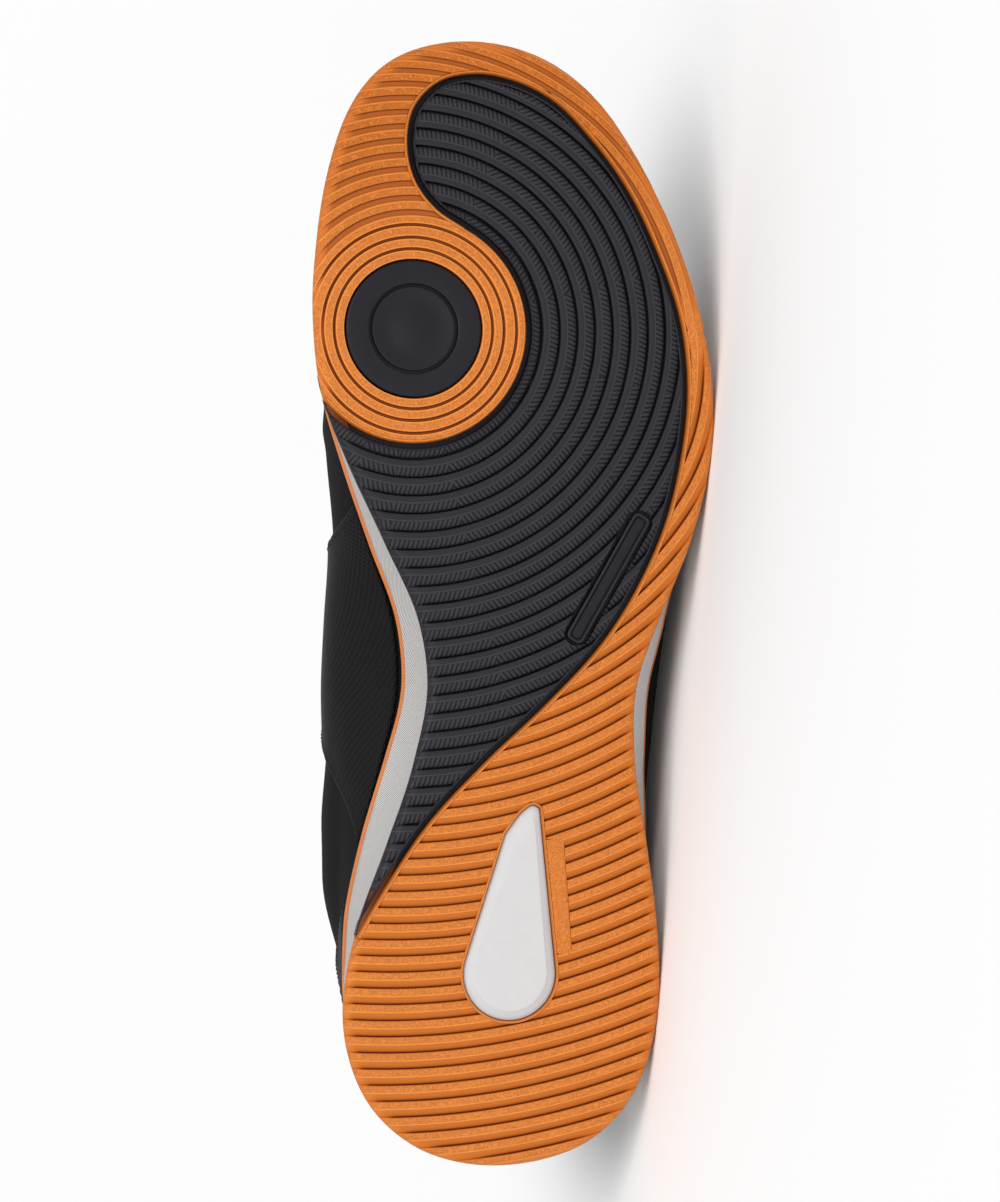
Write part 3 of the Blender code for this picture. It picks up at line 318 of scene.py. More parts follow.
# Girths of the upper: the widest line (medial, lateral, height) and the line it runs up to, which is the
# ridge of the vamp where the half opening is 0 and the edge of throat and collar where it isn't
Girth = namedtuple("Girth", "x medial lateral wide_z top_x top_y half top_z crown")
GIRTHS = [
    Girth(289.0, -9.6, -9.6, 33.5, 266.0, -9.0, 0.0, 46.5, 1.0),
    Girth(283.0, -27.4, 8.6, 32.5, 263.5, -8.8, 0.0, 47.0, 1.0),
    Girth(272.0, -37.4, 21.9, 30.0, 258.5, -8.6, 0.0, 48.0, 1.0),
    Girth(256.0, -43.2, 32.2, 27.5, 248.0, -7.0, 0.0, 50.2, 1.0),
    Girth(236.0, -47.3, 40.5, 26.0, 231.0, -5.0, 0.0, 54.5, 1.0),
    Girth(214.0, -47.8, 46.0, 26.0, 210.5, -3.2, 0.0, 61.0, 1.0),
    Girth(198.0, -46.0, 48.4, 27.5, 194.5, -2.2, 0.0, 67.2, 1.0),
    Girth(195.5, -45.7, 48.5, 28.0, 193.2, -2.1, 4.8, 67.6, 1.0),
    Girth(190.5, -45.1, 48.5, 29.0, 189.6, -2.0, 8.0, 69.0, 0.98),
    Girth(183.0, -44.2, 48.3, 30.4, 183.0, -1.9, 10.0, 71.8, 0.95),
    Girth(160.0, -41.5, 46.4, 35.5, 160.5, -1.4, 12.2, 81.5, 0.85),
    Girth(140.0, -42.0, 44.8, 39.5, 141.0, -1.0, 14.0, 89.5, 0.75),
    Girth(122.0, -42.2, 43.4, 43.0, 123.0, -0.8, 16.5, 96.5, 0.6),
    Girth(112.0, -41.8, 42.4, 44.0, 113.5, -0.8, 19.0, 99.0, 0.5),
    Girth(103.0, -41.2, 41.3, 45.0, 103.5, -0.8, 24.5, 95.5, 0.35),
    Girth(94.0, -40.7, 40.0, 45.5, 93.0, -0.9, 29.0, 87.5, 0.2),
    Girth(82.0, -40.3, 38.0, 46.0, 80.5, -1.2, 32.0, 78.5, 0.08),
    Girth(66.0, -40.0, 35.2, 45.0, 65.0, -2.0, 33.3, 72.5, 0.0),
    Girth(50.0, -38.2, 32.8, 43.0, 50.5, -2.8, 32.0, 72.0, 0.0),
    Girth(34.0, -35.2, 29.2, 41.5, 36.5, -3.4, 27.5, 75.5, 0.0),
    Girth(20.0, -30.2, 23.5, 40.5, 25.5, -3.8, 20.5, 80.0, 0.0),
    Girth(8.0, -19.4, 12.2, 40.0, 18.0, -4.0, 10.5, 84.5, 0.0),
    Girth(2.0, -4.0, -4.0, 40.0, 15.5, -4.0, 0.0, 86.0, 0.0)]

# Pull of the side's curve at its ends, on a vamp (crown 1) and on a collar (crown 0)
FEATHER_SPREAD = 0.5
FEATHER_RISE = 0.15
UNDER_WIDEST = 0.45
Pull = namedtuple("Pull", "vamp collar")
OVER_WIDEST = Pull(0.52, 0.4)
TOP_SPREAD = Pull(0.56, 0.06)
TOP_DROP = Pull(0.0, 0.4)

# Edge of the dark tread panel from its rear tip up the outer side, round the toe and down to the pivot ring
Edge = namedtuple("Edge", "x y")
PANEL_EDGE = [
    Edge(55.6, -44.0), Edge(73.1, -33.8), Edge(88.8, -23.0), Edge(104.4, -8.2), Edge(120.0, 8.6),
    Edge(135.6, 23.0), Edge(151.2, 32.8), Edge(166.8, 39.6), Edge(182.5, 43.5), Edge(200.7, 45.4),
    Edge(218.9, 43.6), Edge(237.1, 37.7), Edge(252.7, 30.6), Edge(265.7, 21.7), Edge(276.2, 11.6),
    Edge(281.0, 2.2), Edge(282.8, -8.2), Edge(280.6, -17.8), Edge(274.0, -24.4), Edge(264.0, -26.5),
    Edge(255.3, -24.8), Edge(248.0, -19.6), Edge(243.2, -12.6)]

# How far the orange ribs wander from their circles, by degrees round the pivot from the toe
Wander = namedtuple("Wander", "degrees shift")
TOE_WANDER = [
    Wander(-180, 0.0), Wander(-20, 0.0), Wander(0, 0.0), Wander(40, -1.0), Wander(74, -1.3), Wander(92, 0.5)]
HEEL_WANDER = [Wander(88, -1.3), Wander(112, 1.2), Wander(130, 0.6), Wander(150, 0.0), Wander(360, 0.0)]
NO_WANDER = [Wander(-360, 0.0), Wander(360, 0.0)]


# Curves and outlines


def smooth(keys, values, at):
    """Value at each key of a smooth curve through a table's rows, whatever way the keys run."""
    keys = np.asarray(keys, float)
    values = np.asarray(values, float)
    if keys[0] > keys[-1]:
        keys, values = keys[::-1], values[::-1]
    at = np.clip(np.asarray(at, float), keys[0], keys[-1])
    slope = np.gradient(values, keys)
    row = np.clip(np.searchsorted(keys, at) - 1, 0, len(keys) - 2)
    span = keys[row + 1] - keys[row]
    t = (at - keys[row]) / span
    rise = values[row] * (1 + 2 * t) * (1 - t) ** 2 + values[row + 1] * t * t * (3 - 2 * t)
    return rise + span * (slope[row] * t * (1 - t) ** 2 + slope[row + 1] * t * t * (t - 1))


def column(table, name):
    return np.array([getattr(row, name) for row in table])


def ease(value):
    value = np.clip(value, 0, 1)
    return value * value * (3 - 2 * value)


def unit(vectors):
    """Vectors brought to a length of 1."""
    return vectors / np.maximum(np.linalg.norm(vectors, axis=-1, keepdims=True), 1e-9)


def right_of(along):
    """Unit normals to the right of plan directions."""
    return unit(np.stack([along[..., 1], -along[..., 0]], axis=-1))


def bearing(angles):
    """Unit plan directions at some angles."""
    return np.stack([np.cos(angles), np.sin(angles)], axis=-1)


def together(*values):
    """Numbers and arrays brought to one shape."""
    return np.broadcast_arrays(*(np.asarray(value, float) for value in values))


def turn_of(table, x):
    """Angle round a closed outline, 0 at the toe and pi at the heel, where its outer half passes x."""
    toe, heel = table[0].x, table[-1].x
    return np.arccos(np.clip((2 * np.asarray(x, float) - toe - heel) / (toe - heel), -1, 1))


def station(table, turn):
    """The x that a closed outline passes at an angle round it."""
    toe, heel = table[0].x, table[-1].x
    return (toe + heel) / 2 + (toe - heel) / 2 * np.cos(turn)


def outline(table, turn):
    """Plan points of a closed outline: x is a cosine of the turn, y runs through the rows of both sides."""
    rows = turn_of(table, column(table, "x"))
    keys = np.concatenate([rows[:-1], 2 * math.pi - rows[:0:-1]])
    values = np.concatenate([column(table, "lateral")[:-1], column(table, "medial")[:0:-1]])
    keys = np.concatenate([keys[-3:] - 2 * math.pi, keys, keys[:3] + 2 * math.pi])
    values = np.concatenate([values[-3:], values, values[:3]])
    turn = np.mod(np.asarray(turn, float), 2 * math.pi)
    return np.stack([station(table, turn), smooth(keys, values, turn)], axis=-1)


def outward(loop):
    """Unit normals of a closed plan loop that runs anticlockwise."""
    return right_of(np.roll(loop, -1, axis=0) - np.roll(loop, 1, axis=0))


def offset(loop, distance):
    return loop + outward(loop) * np.reshape(distance, (-1, 1))


def through(points, count):
    """Evenly spaced points on a smooth open curve through a few points."""
    points = np.asarray(points, float)
    length = np.concatenate([[0], np.cumsum(np.linalg.norm(np.diff(points, axis=0), axis=1))])
    at = np.linspace(0, length[-1], count)
    return np.stack([smooth(length, points[:, axis], at) for axis in range(points.shape[1])], axis=-1)


def inside(loop, points):
    """Which plan points lie inside a closed loop, by counting the edges that each one looks across."""
    hit = np.zeros(len(points), bool)
    for a, b in zip(loop, np.roll(loop, -1, axis=0)):
        spans = (a[1] > points[:, 1]) != (b[1] > points[:, 1])
        rise = b[1] - a[1] if b[1] != a[1] else 1.0
        hit ^= spans & (points[:, 0] < a[0] + (points[:, 1] - a[1]) * (b[0] - a[0]) / rise)
    return hit


def ground(x):
    """Height of the tread over the ground line: toe spring, bevelled heel and raised arch."""
    x = np.asarray(x, float)
    toe = TOE_SPRING * np.clip((x - SPRING_START) / (LENGTH - SPRING_START), 0, None) ** SPRING_POWER
    heel = HEEL_BEVEL * np.clip(1 - x / HEEL_BEVEL_END, 0, None) ** 2
    arch = ARCH_RISE * np.clip(1 - ((x - ARCH_X) / ARCH_HALF) ** 2, 0, None) ** 2
    return toe + heel + arch


def bezier(controls, t):
    t = np.clip(t, 0, 1)[..., None]
    a, b, c, d = controls
    return a * (1 - t) ** 3 + 3 * b * t * (1 - t) ** 2 + 3 * c * t * t * (1 - t) + d * t ** 3


def ring_at(loop, z):
    """A plan loop with its heights as a third column."""
    return np.column_stack([loop, np.broadcast_to(z, len(loop))])


def even_turns(count):
    return np.arange(count) * 2 * math.pi / count


# Distances in plan, looked up on a grid


CELL = 1.0
MAP_LOW = np.array([-8.0, -62.0])
MAP_SHAPE = (308, 126)


def distance_map(loop):
    """Signed distance to a closed plan loop, positive inside, as a function of points."""
    points = MAP_LOW + CELL * np.indices(MAP_SHAPE).reshape(2, -1).T
    nearest = np.full(len(points), np.inf)
    for a, b in zip(loop, np.roll(loop, -1, axis=0)):
        way = b - a
        t = np.clip((points - a) @ way / max(way @ way, 1e-9), 0, 1)
        away = points - a - t[:, None] * way
        nearest = np.minimum(nearest, np.einsum("ij,ij->i", away, away))
    grid = (np.sqrt(nearest) * np.where(inside(loop, points), 1, -1)).reshape(MAP_SHAPE)

    def distance(points):
        at = (points - MAP_LOW) / CELL
        low = np.clip(np.floor(at).astype(int), 0, np.array(MAP_SHAPE) - 2)
        share = np.clip(at - low, 0, 1)
        i, j = low[..., 0], low[..., 1]
        u, v = share[..., 0], share[..., 1]
        near = grid[i, j] * (1 - v) + grid[i, j + 1] * v
        far = grid[i + 1, j] * (1 - v) + grid[i + 1, j + 1] * v
        return near * (1 - u) + far * u

    return distance


def panel_loop():
    """Outline of the tread panel and how many of its points border on the orange rubber."""
    edge = through(PANEL_EDGE, PANEL_STEPS)
    first = math.atan2(edge[-1][1] - PIVOT[1], edge[-1][0] - PIVOT[0])
    angles = np.linspace(first, math.radians(RING_LAST_ANGLE), RING_STEPS)[1:]
    ring = PIVOT + RING_RADIUS * bearing(angles)
    outer = offset(outline(SOLE, even_turns(PANEL_OUTER_STEPS)), PANEL_OVERHANG)
    front, rear = ring[-1][0] - PANEL_TURN_IN, edge[0][0] + PANEL_TURN_IN
    outer = outer[(outer[:, 1] < 0) & (outer[:, 0] < front) & (outer[:, 0] > rear)]
    outer = outer[np.argsort(-outer[:, 0])]
    bordering = len(edge) + len(ring)
    return np.concatenate([edge, ring, outer])[::-1], bordering


def drop_loop(radius, tip):
    """Outline of the heel insert: an arc between the tangents from the first and last points of its tip."""
    tangents = []
    for corner, side in ((tip[-1], 1), (tip[0], -1)):
        reach = np.array(corner) - DROP_CENTRE
        tangents.append(math.atan2(reach[1], reach[0]) + side * math.acos(radius / np.linalg.norm(reach)))
    angles = np.linspace(tangents[0], tangents[1] + 2 * math.pi, DROP_STEPS)
    return np.concatenate([DROP_CENTRE + radius * bearing(angles), through(tip, DROP_TIP_STEPS)])


PANEL, PANEL_BORDER = panel_loop()
DROP = drop_loop(DROP_RADIUS, DROP_TIP)
from_edge = distance_map(outline(SOLE, even_turns(OUTLINE_STEPS)))
from_panel = distance_map(PANEL)
from_drop = distance_map(DROP)
from_strip = distance_map(np.array(PLAIN_STRIP))


def from_bar(points):
    """Distance of plan points from the axis of the plain bar in the tread panel."""
    a, b = BAR_ENDS
    t = np.clip((points - a) @ (b - a) / np.dot(b - a, b - a), 0, 1)
    return np.linalg.norm(points - a - t[..., None] * (b - a), axis=-1)


def roll(points):
    """Rise of the sole's rounded lower edge at plan points."""
    share = np.clip(1 - from_edge(points) / ROLL_WIDTH, 0, 1)
    return ROLL_RISE * (1 - np.sqrt(np.clip(1 - share * share, 0, 1)))


def tread(points, depth=0.0):
    """Plan points set on the tread's face, some depth up into the rubber."""
    z = ground(points[..., 0]) + roll(points) + depth
    return np.concatenate([points, z[..., None]], axis=-1)


# Meshes


def new_mesh():
    """An empty mesh whose points carry their place on the flat piece and a mask."""
    bm = bmesh.new()
    bm.verts.layers.float_vector.new("flat")
    return bm


def faces_of(verts):
    return list({face for vert in verts for face in vert.link_faces})


def sheet(bm, points, flat=None, flip=False):
    """A grid of faces over an array [rows, columns] of points, with the flat place and mask of each."""
    rows, columns = points.shape[:2]
    made = bmesh.ops.create_grid(bm, x_segments=columns - 1, y_segments=rows - 1, size=1)
    layer = bm.verts.layers.float_vector["flat"]
    places = points.reshape(-1, 3).tolist()
    marks = places if flat is None else flat.reshape(-1, 3).tolist()
    for vert, place, mark in zip(made["verts"], places, marks):
        vert.co = place
        vert[layer] = mark
    if flip:
        bmesh.ops.reverse_faces(bm, faces=faces_of(made["verts"]))
    return made["verts"]


def lay_down(bm, points, flat=None):
    """A sheet whose faces look down, towards the ground."""
    along = np.diff(points, axis=1)[:-1]
    over = np.diff(points, axis=0)[:, :-1]
    sheet(bm, points, flat, flip=np.cross(along, over)[..., 2].sum() >= 0)


def marked(points, mark):
    """Flat places of points on the tread: their plan and the mark that their material shows."""
    return np.concatenate([points[..., :2], np.broadcast_to(mark, points.shape[:-1])[..., None]], axis=-1)


def closed(points):
    """Rows of points with their first column repeated at the end."""
    return np.concatenate([points, points[:, :1]], axis=1)


def weld(bm, distance=0.01):
    bmesh.ops.remove_doubles(bm, verts=bm.verts, dist=distance)


def placing():
    """Matrix from the shoe's millimetres to the world, from the rest on its heel."""
    rest = frame["record"]["mounts"][0]
    up = -Vector(rest["axis"]).normalized()
    toe = up.cross(Vector((0, 1, 0))).normalized()
    turn = Matrix((toe, up.cross(toe), up)).transposed() * MM
    place = Vector(rest["pos_m"]) - turn @ Vector(HEEL_REST)
    return Matrix.Translation(place) @ turn.to_4x4()


PLACE = placing()


def in_scene(name, data):
    """A new object in the scene."""
    obj = bpy.data.objects.new(name, data)
    bpy.context.scene.collection.objects.link(obj)
    return obj


def piece(bm, name, materials, replaces=(), sharp=40):
    """A finished piece of the shoe from a mesh in millimetres."""
    mesh = bpy.data.meshes.new(name)
    bm.to_mesh(mesh)
    bm.free()
    mesh.transform(PLACE)
    for material in materials:
        mesh.materials.append(material)
    mesh.shade_smooth()
    mesh.set_sharp_from_angle(angle=math.radians(sharp))
    obj = in_scene(name, mesh)
    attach(obj, "root")
    if replaces:
        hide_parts(*replaces)
    return obj


# Materials


def put(tree, kind, inputs=None, **settings):
    """A node with its settings, and its inputs as values or as links from other nodes' outputs."""
    made = tree.nodes.new(kind)
    for key, value in settings.items():
        setattr(made, key, value)
    for key, value in (inputs or {}).items():
        if isinstance(value, bpy.types.NodeSocket):
            tree.links.new(value, made.inputs[key])
        else:
            made.inputs[key].default_value = value
    return made


def calc(tree, operation, *values):
    return put(tree, "ShaderNodeMath", dict(enumerate(values)), operation=operation).outputs[0]


def scaled(tree, value, low, high, to_low=0.0, to_high=1.0):
    """A value eased from one range to another."""
    inputs = {"Value": value, "From Min": low, "From Max": high, "To Min": to_low, "To Max": to_high}
    return put(tree, "ShaderNodeMapRange", inputs, interpolation_type="SMOOTHSTEP").outputs[0]


def blend(tree, share, first, second):
    """Mix of two colours."""
    return put(tree, "ShaderNodeMix", {0: share, 6: first, 7: second}, data_type="RGBA").outputs[2]


def finish_of(name, roughness=0.6, **sockets):
    """A new material, its node tree and its shader, with constant finish values on the shader."""
    material = bpy.data.materials.new(name)
    material.use_nodes = True
    shader = material.node_tree.nodes["Principled BSDF"]
    shader.inputs["Roughness"].default_value = roughness
    for key, value in sockets.items():
        shader.inputs[key.replace("_", " ").title().replace("Ior", "IOR")].default_value = value
    return material, material.node_tree, shader


def flat_place(tree):
    """The flat place of the surface in millimetres, and its parts."""
    place = put(tree, "ShaderNodeAttribute", attribute_name="flat").outputs["Vector"]
    parts = put(tree, "ShaderNodeSeparateXYZ", {0: place}).outputs
    return place, parts[0], parts[1], parts[2]


def object_place(tree, scale):
    """Object coordinates at a number of cells to the millimetre."""
    place = put(tree, "ShaderNodeTexCoord").outputs["Object"]
    size = (scale / MM,) * 3
    return put(tree, "ShaderNodeVectorMath", {0: place, 1: size}, operation="MULTIPLY").outputs[0]


def raise_surface(tree, shader, height, depth, strength=1.0):
    """Bumps a surface by a height from 0 to 1 over a depth in millimetres."""
    inputs = {"Height": height, "Distance": depth * MM, "Strength": strength}
    bump = put(tree, "ShaderNodeBump", inputs)
    tree.links.new(bump.outputs[0], shader.inputs["Normal"])


def new_group(name, inputs, outputs):
    """A shader node group with named number inputs and outputs."""
    tree = bpy.data.node_groups.new(name, "ShaderNodeTree")
    for label, kind in inputs:
        tree.interface.new_socket(label, in_out="INPUT", socket_type=kind)
    for label, kind in outputs:
        tree.interface.new_socket(label, in_out="OUTPUT", socket_type=kind)
    return tree, tree.nodes.new("NodeGroupInput").outputs, tree.nodes.new("NodeGroupOutput").inputs


def rubber_grain():
    """Leathery grain of moulded rubber: a height and a faint mottling."""
    group, given, result = new_group(
        "rubber grain", [("Place", "NodeSocketVector")],
        [("Height", "NodeSocketFloat"), ("Mottle", "NodeSocketFloat")])
    wrinkle = put(group, "ShaderNodeTexNoise", {
        "Vector": given["Place"], "Scale": 0.8, "Detail": 1.5, "Roughness": 0.5, "Distortion": 0.9})
    fold = calc(group, "ABSOLUTE", calc(group, "SUBTRACT", wrinkle.outputs["Fac"], 0.5))
    group.links.new(scaled(group, fold, 0.0, 0.11, 1.0, 0.0), result["Height"])
    mottle = put(group, "ShaderNodeTexNoise", {"Vector": given["Place"], "Scale": 0.09, "Detail": 4.0})
    group.links.new(mottle.outputs["Fac"], result["Mottle"])
    return group


def weave():
    """Threads over and under: a height from a flat place, with threads of one millimetre at scale 1."""
    group, given, result = new_group(
        "weave",
        [("Place", "NodeSocketVector"), ("Across", "NodeSocketFloat"), ("Along", "NodeSocketFloat")],
        [("Height", "NodeSocketFloat")])
    parts = put(group, "ShaderNodeSeparateXYZ", {0: given["Place"]}).outputs
    u = calc(group, "MULTIPLY", parts[0], given["Across"])
    v = calc(group, "MULTIPLY", parts[1], given["Along"])
    over = calc(group, "SINE", calc(group, "MULTIPLY", u, math.pi))
    under = calc(group, "SINE", calc(group, "MULTIPLY", v, math.pi))
    crossing = calc(group, "MULTIPLY", over, under)
    group.links.new(calc(group, "MULTIPLY_ADD", crossing, 0.5, 0.5), result["Height"])
    return group


GRAIN = rubber_grain()
WEAVE = weave()


def grouped(tree, group, inputs):
    return put(tree, "ShaderNodeGroup", inputs, node_tree=group).outputs


def grain_at(tree, fineness):
    """Height and mottling of the rubber grain, at a number of cells to the millimetre."""
    return grouped(tree, GRAIN, {"Place": object_place(tree, fineness)})


def paint(tree, shader, colour):
    tree.links.new(colour, shader.inputs["Base Color"])


# Colours, dark and light where one is mottled
ORANGE = ((0.56, 0.16, 0.024, 1), (0.64, 0.195, 0.033, 1))
# Painted shade that darkens the orange towards the toe
ORANGE_TOE_SHADE = (0.46, 0.11, 0.007, 1)
ORANGE_WRINKLE = (0.74, 0.24, 0.045, 1)
# Painted highlight along the smooth edges of the orange ribs and lips
ORANGE_EDGE_HIGHLIGHT = (0.8, 0.275, 0.055, 1)
# Painted shade on the rib slopes and, darkest, in the crevices
ORANGE_SLOPE_SHADE = (0.54, 0.145, 0.018, 1)
ORANGE_CREVICE_SHADE = (0.14, 0.033, 0.006, 1)
LINE_ORANGE = ((0.52, 0.15, 0.03, 1), (0.64, 0.21, 0.05, 1))
PANEL_BLACK = ((0.0095, 0.009, 0.0125, 1), (0.0155, 0.0148, 0.0195, 1))
DISC_BLACK = ((0.0035, 0.0033, 0.0052, 1), (0.0075, 0.0072, 0.0102, 1))
# Painted light and shade of the hatch: dark gaps between the bars, lighter bar faces
HATCH_LIT_AND_SHADED = ((0.008, 0.008, 0.0095, 1), (0.029, 0.028, 0.033, 1))
# Painted highlight along the smooth edges of the dark rubber's ribs
RUBBER_EDGE_HIGHLIGHT = (0.05, 0.049, 0.056, 1)
# Painted shade in the crevices of the dark rubber
RUBBER_CREVICE_SHADE = (0.0045, 0.0045, 0.006, 1)
RUBBER_SHEEN = (0.94, 0.91, 1, 1)
INSERT_WHITE = ((0.53, 0.522, 0.526, 1), (0.58, 0.572, 0.576, 1))
FOAM_WHITE = ((0.645, 0.626, 0.612, 1), (0.715, 0.696, 0.682, 1))
# Painted light that whitens the outer side's foam, and painted shade in the grooves between the foam's ribs
FOAM_OUTER_LIT = (0.9, 0.89, 0.88, 1)
FOAM_GROOVE_SHADE = (0.31, 0.298, 0.293, 1)
BLACK = (0.003, 0.003, 0.0035, 1)
VAMP_CORD = (0.012, 0.0115, 0.013, 1)
COLLAR_MESH = ((0.004, 0.004, 0.0045, 1), (0.03, 0.029, 0.031, 1))
CLOTH_TOP = (0.02, 0.02, 0.021, 1)
LACE_TOP = (0.018, 0.018, 0.019, 1)
THREAD = ((0.012, 0.012, 0.013, 1), (0.03, 0.03, 0.032, 1))
EMBOSSED_TOP = (0.014, 0.0137, 0.0152, 1)
SMOOTH_TOP = (0.008, 0.0078, 0.009, 1)
FLOOR_WHITE = ((0.9, 0.9, 0.9, 1), (0.94, 0.94, 0.94, 1))

# Stretch along the shoe over which painted shade darkens the orange towards the toe, and stretch round the
# midsole from the heel over which the painted light that whitens the outer side's foam gives way to the
# inner side's foam
TOE_SHADE_SPAN = (228.0, 268.0)
FOAM_LIT_TURN = (300.0, 340.0)


def orange_rubber():
    """Grained orange rubber with a painted highlight on its smooth edges, painted shade on its slopes and in
    its crevices, and painted shade towards the toe.
    """
    material, tree, shader = finish_of("orange_rubber", 0.52, specular_ior_level=0.2)
    _, along, _, groove = flat_place(tree)
    grain = grain_at(tree, 1.0)
    edge = scaled(tree, groove, -0.28, -0.06, 1.0, 0.0)
    plain = calc(tree, "SUBTRACT", 1.0, edge)
    top = calc(tree, "MULTIPLY", scaled(tree, groove, 0.02, 0.12, 1.0, 0.0), plain)
    wrinkles = calc(tree, "MULTIPLY", grain["Height"], top)
    body = blend(tree, grain["Mottle"], *ORANGE)
    # Painted shade: the orange darkens towards the toe
    body = blend(tree, scaled(tree, along, *TOE_SHADE_SPAN, 0.0, 0.9), body, ORANGE_TOE_SHADE)
    wrinkled = blend(tree, calc(tree, "MULTIPLY", wrinkles, 0.45), body, ORANGE_WRINKLE)
    # Painted highlight on the smooth edges
    highlighted = blend(tree, calc(tree, "MULTIPLY", edge, 0.6), wrinkled, ORANGE_EDGE_HIGHLIGHT)
    # Painted shade on the slopes and in the crevices
    slope_shaded = blend(tree, scaled(tree, groove, 0.08, 0.3), highlighted, ORANGE_SLOPE_SHADE)
    paint(tree, shader, blend(tree, scaled(tree, groove, 0.5, 1.0), slope_shaded, ORANGE_CREVICE_SHADE))
    raise_surface(tree, shader, wrinkles, 0.2, 0.85)
    tree.links.new(scaled(tree, grain["Mottle"], 0.2, 0.8, 0.46, 0.58), shader.inputs["Roughness"])
    return material


# Hatch of the dark rubber: straight bars in zones round the pivot, by the degrees from the toe at which a
# zone starts and the direction of its bars
HATCH_PITCH = 1.17
HATCH_START = 0.2
Zone = namedtuple("Zone", "start slant")
HATCH_ZONES = [
    Zone(-72, 0), Zone(26, 72), Zone(51, 44), Zone(77, 110), Zone(103.5, 88), Zone(125, 137), Zone(165, 196),
    Zone(186, 168), Zone(202, 220)]


def hatch():
    """Height of fine bars across the ribs from a place in plan."""
    group, given, result = new_group(
        "hatch", [("Place", "NodeSocketVector")], [("Height", "NodeSocketFloat")])
    pivot = {0: given["Place"], 1: (*PIVOT, 0)}
    away = put(group, "ShaderNodeVectorMath", pivot, operation="SUBTRACT").outputs[0]
    x, y, _ = put(group, "ShaderNodeSeparateXYZ", {0: away}).outputs
    turn = calc(group, "MULTIPLY_ADD", calc(group, "ARCTAN2", y, x), 0.5 / math.pi, HATCH_START)
    zones = put(group, "ShaderNodeValToRGB", {0: calc(group, "FRACT", turn)})
    ramp = zones.color_ramp
    ramp.interpolation = "CONSTANT"
    ramp.elements.remove(ramp.elements[1])
    for zone in HATCH_ZONES:
        place = zone.start / 360 + HATCH_START
        stop = ramp.elements.new(place) if zone.start > HATCH_ZONES[0].start else ramp.elements[0]
        stop.position = place
        stop.color = (zone.slant / 360,) * 3 + (1,)
    slant = calc(group, "MULTIPLY", zones.outputs[0], 2 * math.pi)
    across = calc(group, "SUBTRACT", calc(group, "MULTIPLY", y, calc(group, "COSINE", slant)),
                  calc(group, "MULTIPLY", x, calc(group, "SINE", slant)))
    bars = scaled(group, calc(group, "PINGPONG", across, HATCH_PITCH / 2), 0.1, 0.28)
    group.links.new(bars, result["Height"])
    return group


HATCH = hatch()


def dark_rubber(name, body):
    """Black rubber with fine bars on the slopes of its ribs, painted light on the bars and painted shade
    between them, a painted highlight on smooth edges and painted shade in crevices.
    """
    material, tree, shader = finish_of(name, 0.5, specular_ior_level=0.27, specular_tint=RUBBER_SHEEN)
    place, _, _, groove = flat_place(tree)
    bars = grouped(tree, HATCH, {"Place": place})["Height"]
    grain = grain_at(tree, 1.6)
    edge = scaled(tree, groove, -0.28, -0.06, 0.5, 0.0)
    above = scaled(tree, groove, 0.66, 0.86, 1.0, 0.0)
    slope = calc(tree, "MULTIPLY", scaled(tree, groove, 0.08, 0.22), above)
    deep = calc(tree, "MULTIPLY", scaled(tree, groove, 0.6, 0.9), 0.85)
    highlighted = blend(tree, edge, blend(tree, grain["Mottle"], *body), RUBBER_EDGE_HIGHLIGHT)
    # Painted light on the hatch bars and painted shade between them, then painted shade in the crevices
    hatched = blend(tree, slope, highlighted, blend(tree, bars, *HATCH_LIT_AND_SHADED))
    paint(tree, shader, blend(tree, deep, hatched, RUBBER_CREVICE_SHADE))
    fine = calc(tree, "MULTIPLY", grain["Height"], 0.05)
    raise_surface(tree, shader, calc(tree, "MULTIPLY_ADD", bars, slope, fine), 0.3, 0.9)
    tree.links.new(scaled(tree, grain["Mottle"], 0.2, 0.8, 0.44, 0.58), shader.inputs["Roughness"])
    return material


def moulded(name, colours, fineness, depth, strength):
    """Plain moulded surface with a faint mottling and grain."""
    material, tree, shader = finish_of(name, 0.55)
    grain = grain_at(tree, fineness)
    paint(tree, shader, blend(tree, grain["Mottle"], *colours))
    raise_surface(tree, shader, grain["Height"], depth, strength)
    return material


def white_foam():
    """Foam with fine slanted ribs moulded into its side, with painted shade in the grooves between them and
    painted light that whitens the outer side.
    """
    material, tree, shader = finish_of("white_foam", 0.62)
    _, along, rise, mask = flat_place(tree)
    slanted = calc(tree, "MULTIPLY_ADD", rise, 0.9, along)
    ribs = scaled(tree, calc(tree, "PINGPONG", slanted, 0.42), 0.04, 0.36)
    # Painted light on the outer side, and painted shade in the rib grooves below
    outer = scaled(tree, along, *FOAM_LIT_TURN, 1.0, 0.0)
    body = blend(tree, outer, blend(tree, grain_at(tree, 1.0)["Mottle"], *FOAM_WHITE), FOAM_OUTER_LIT)
    strength = calc(tree, "MULTIPLY", mask, calc(tree, "MULTIPLY_ADD", outer, -0.35, 0.85))
    lines = calc(tree, "MULTIPLY", calc(tree, "SUBTRACT", 1.0, ribs), strength)
    paint(tree, shader, blend(tree, lines, body, FOAM_GROOVE_SHADE))
    raise_surface(tree, shader, calc(tree, "MULTIPLY", ribs, mask), 0.25, 0.9)
    return material


def fuzz_at(tree, place, scale):
    """Loose fibres on cloth."""
    return put(tree, "ShaderNodeTexNoise", {"Vector": place, "Scale": scale, "Detail": 3.0}).outputs["Fac"]


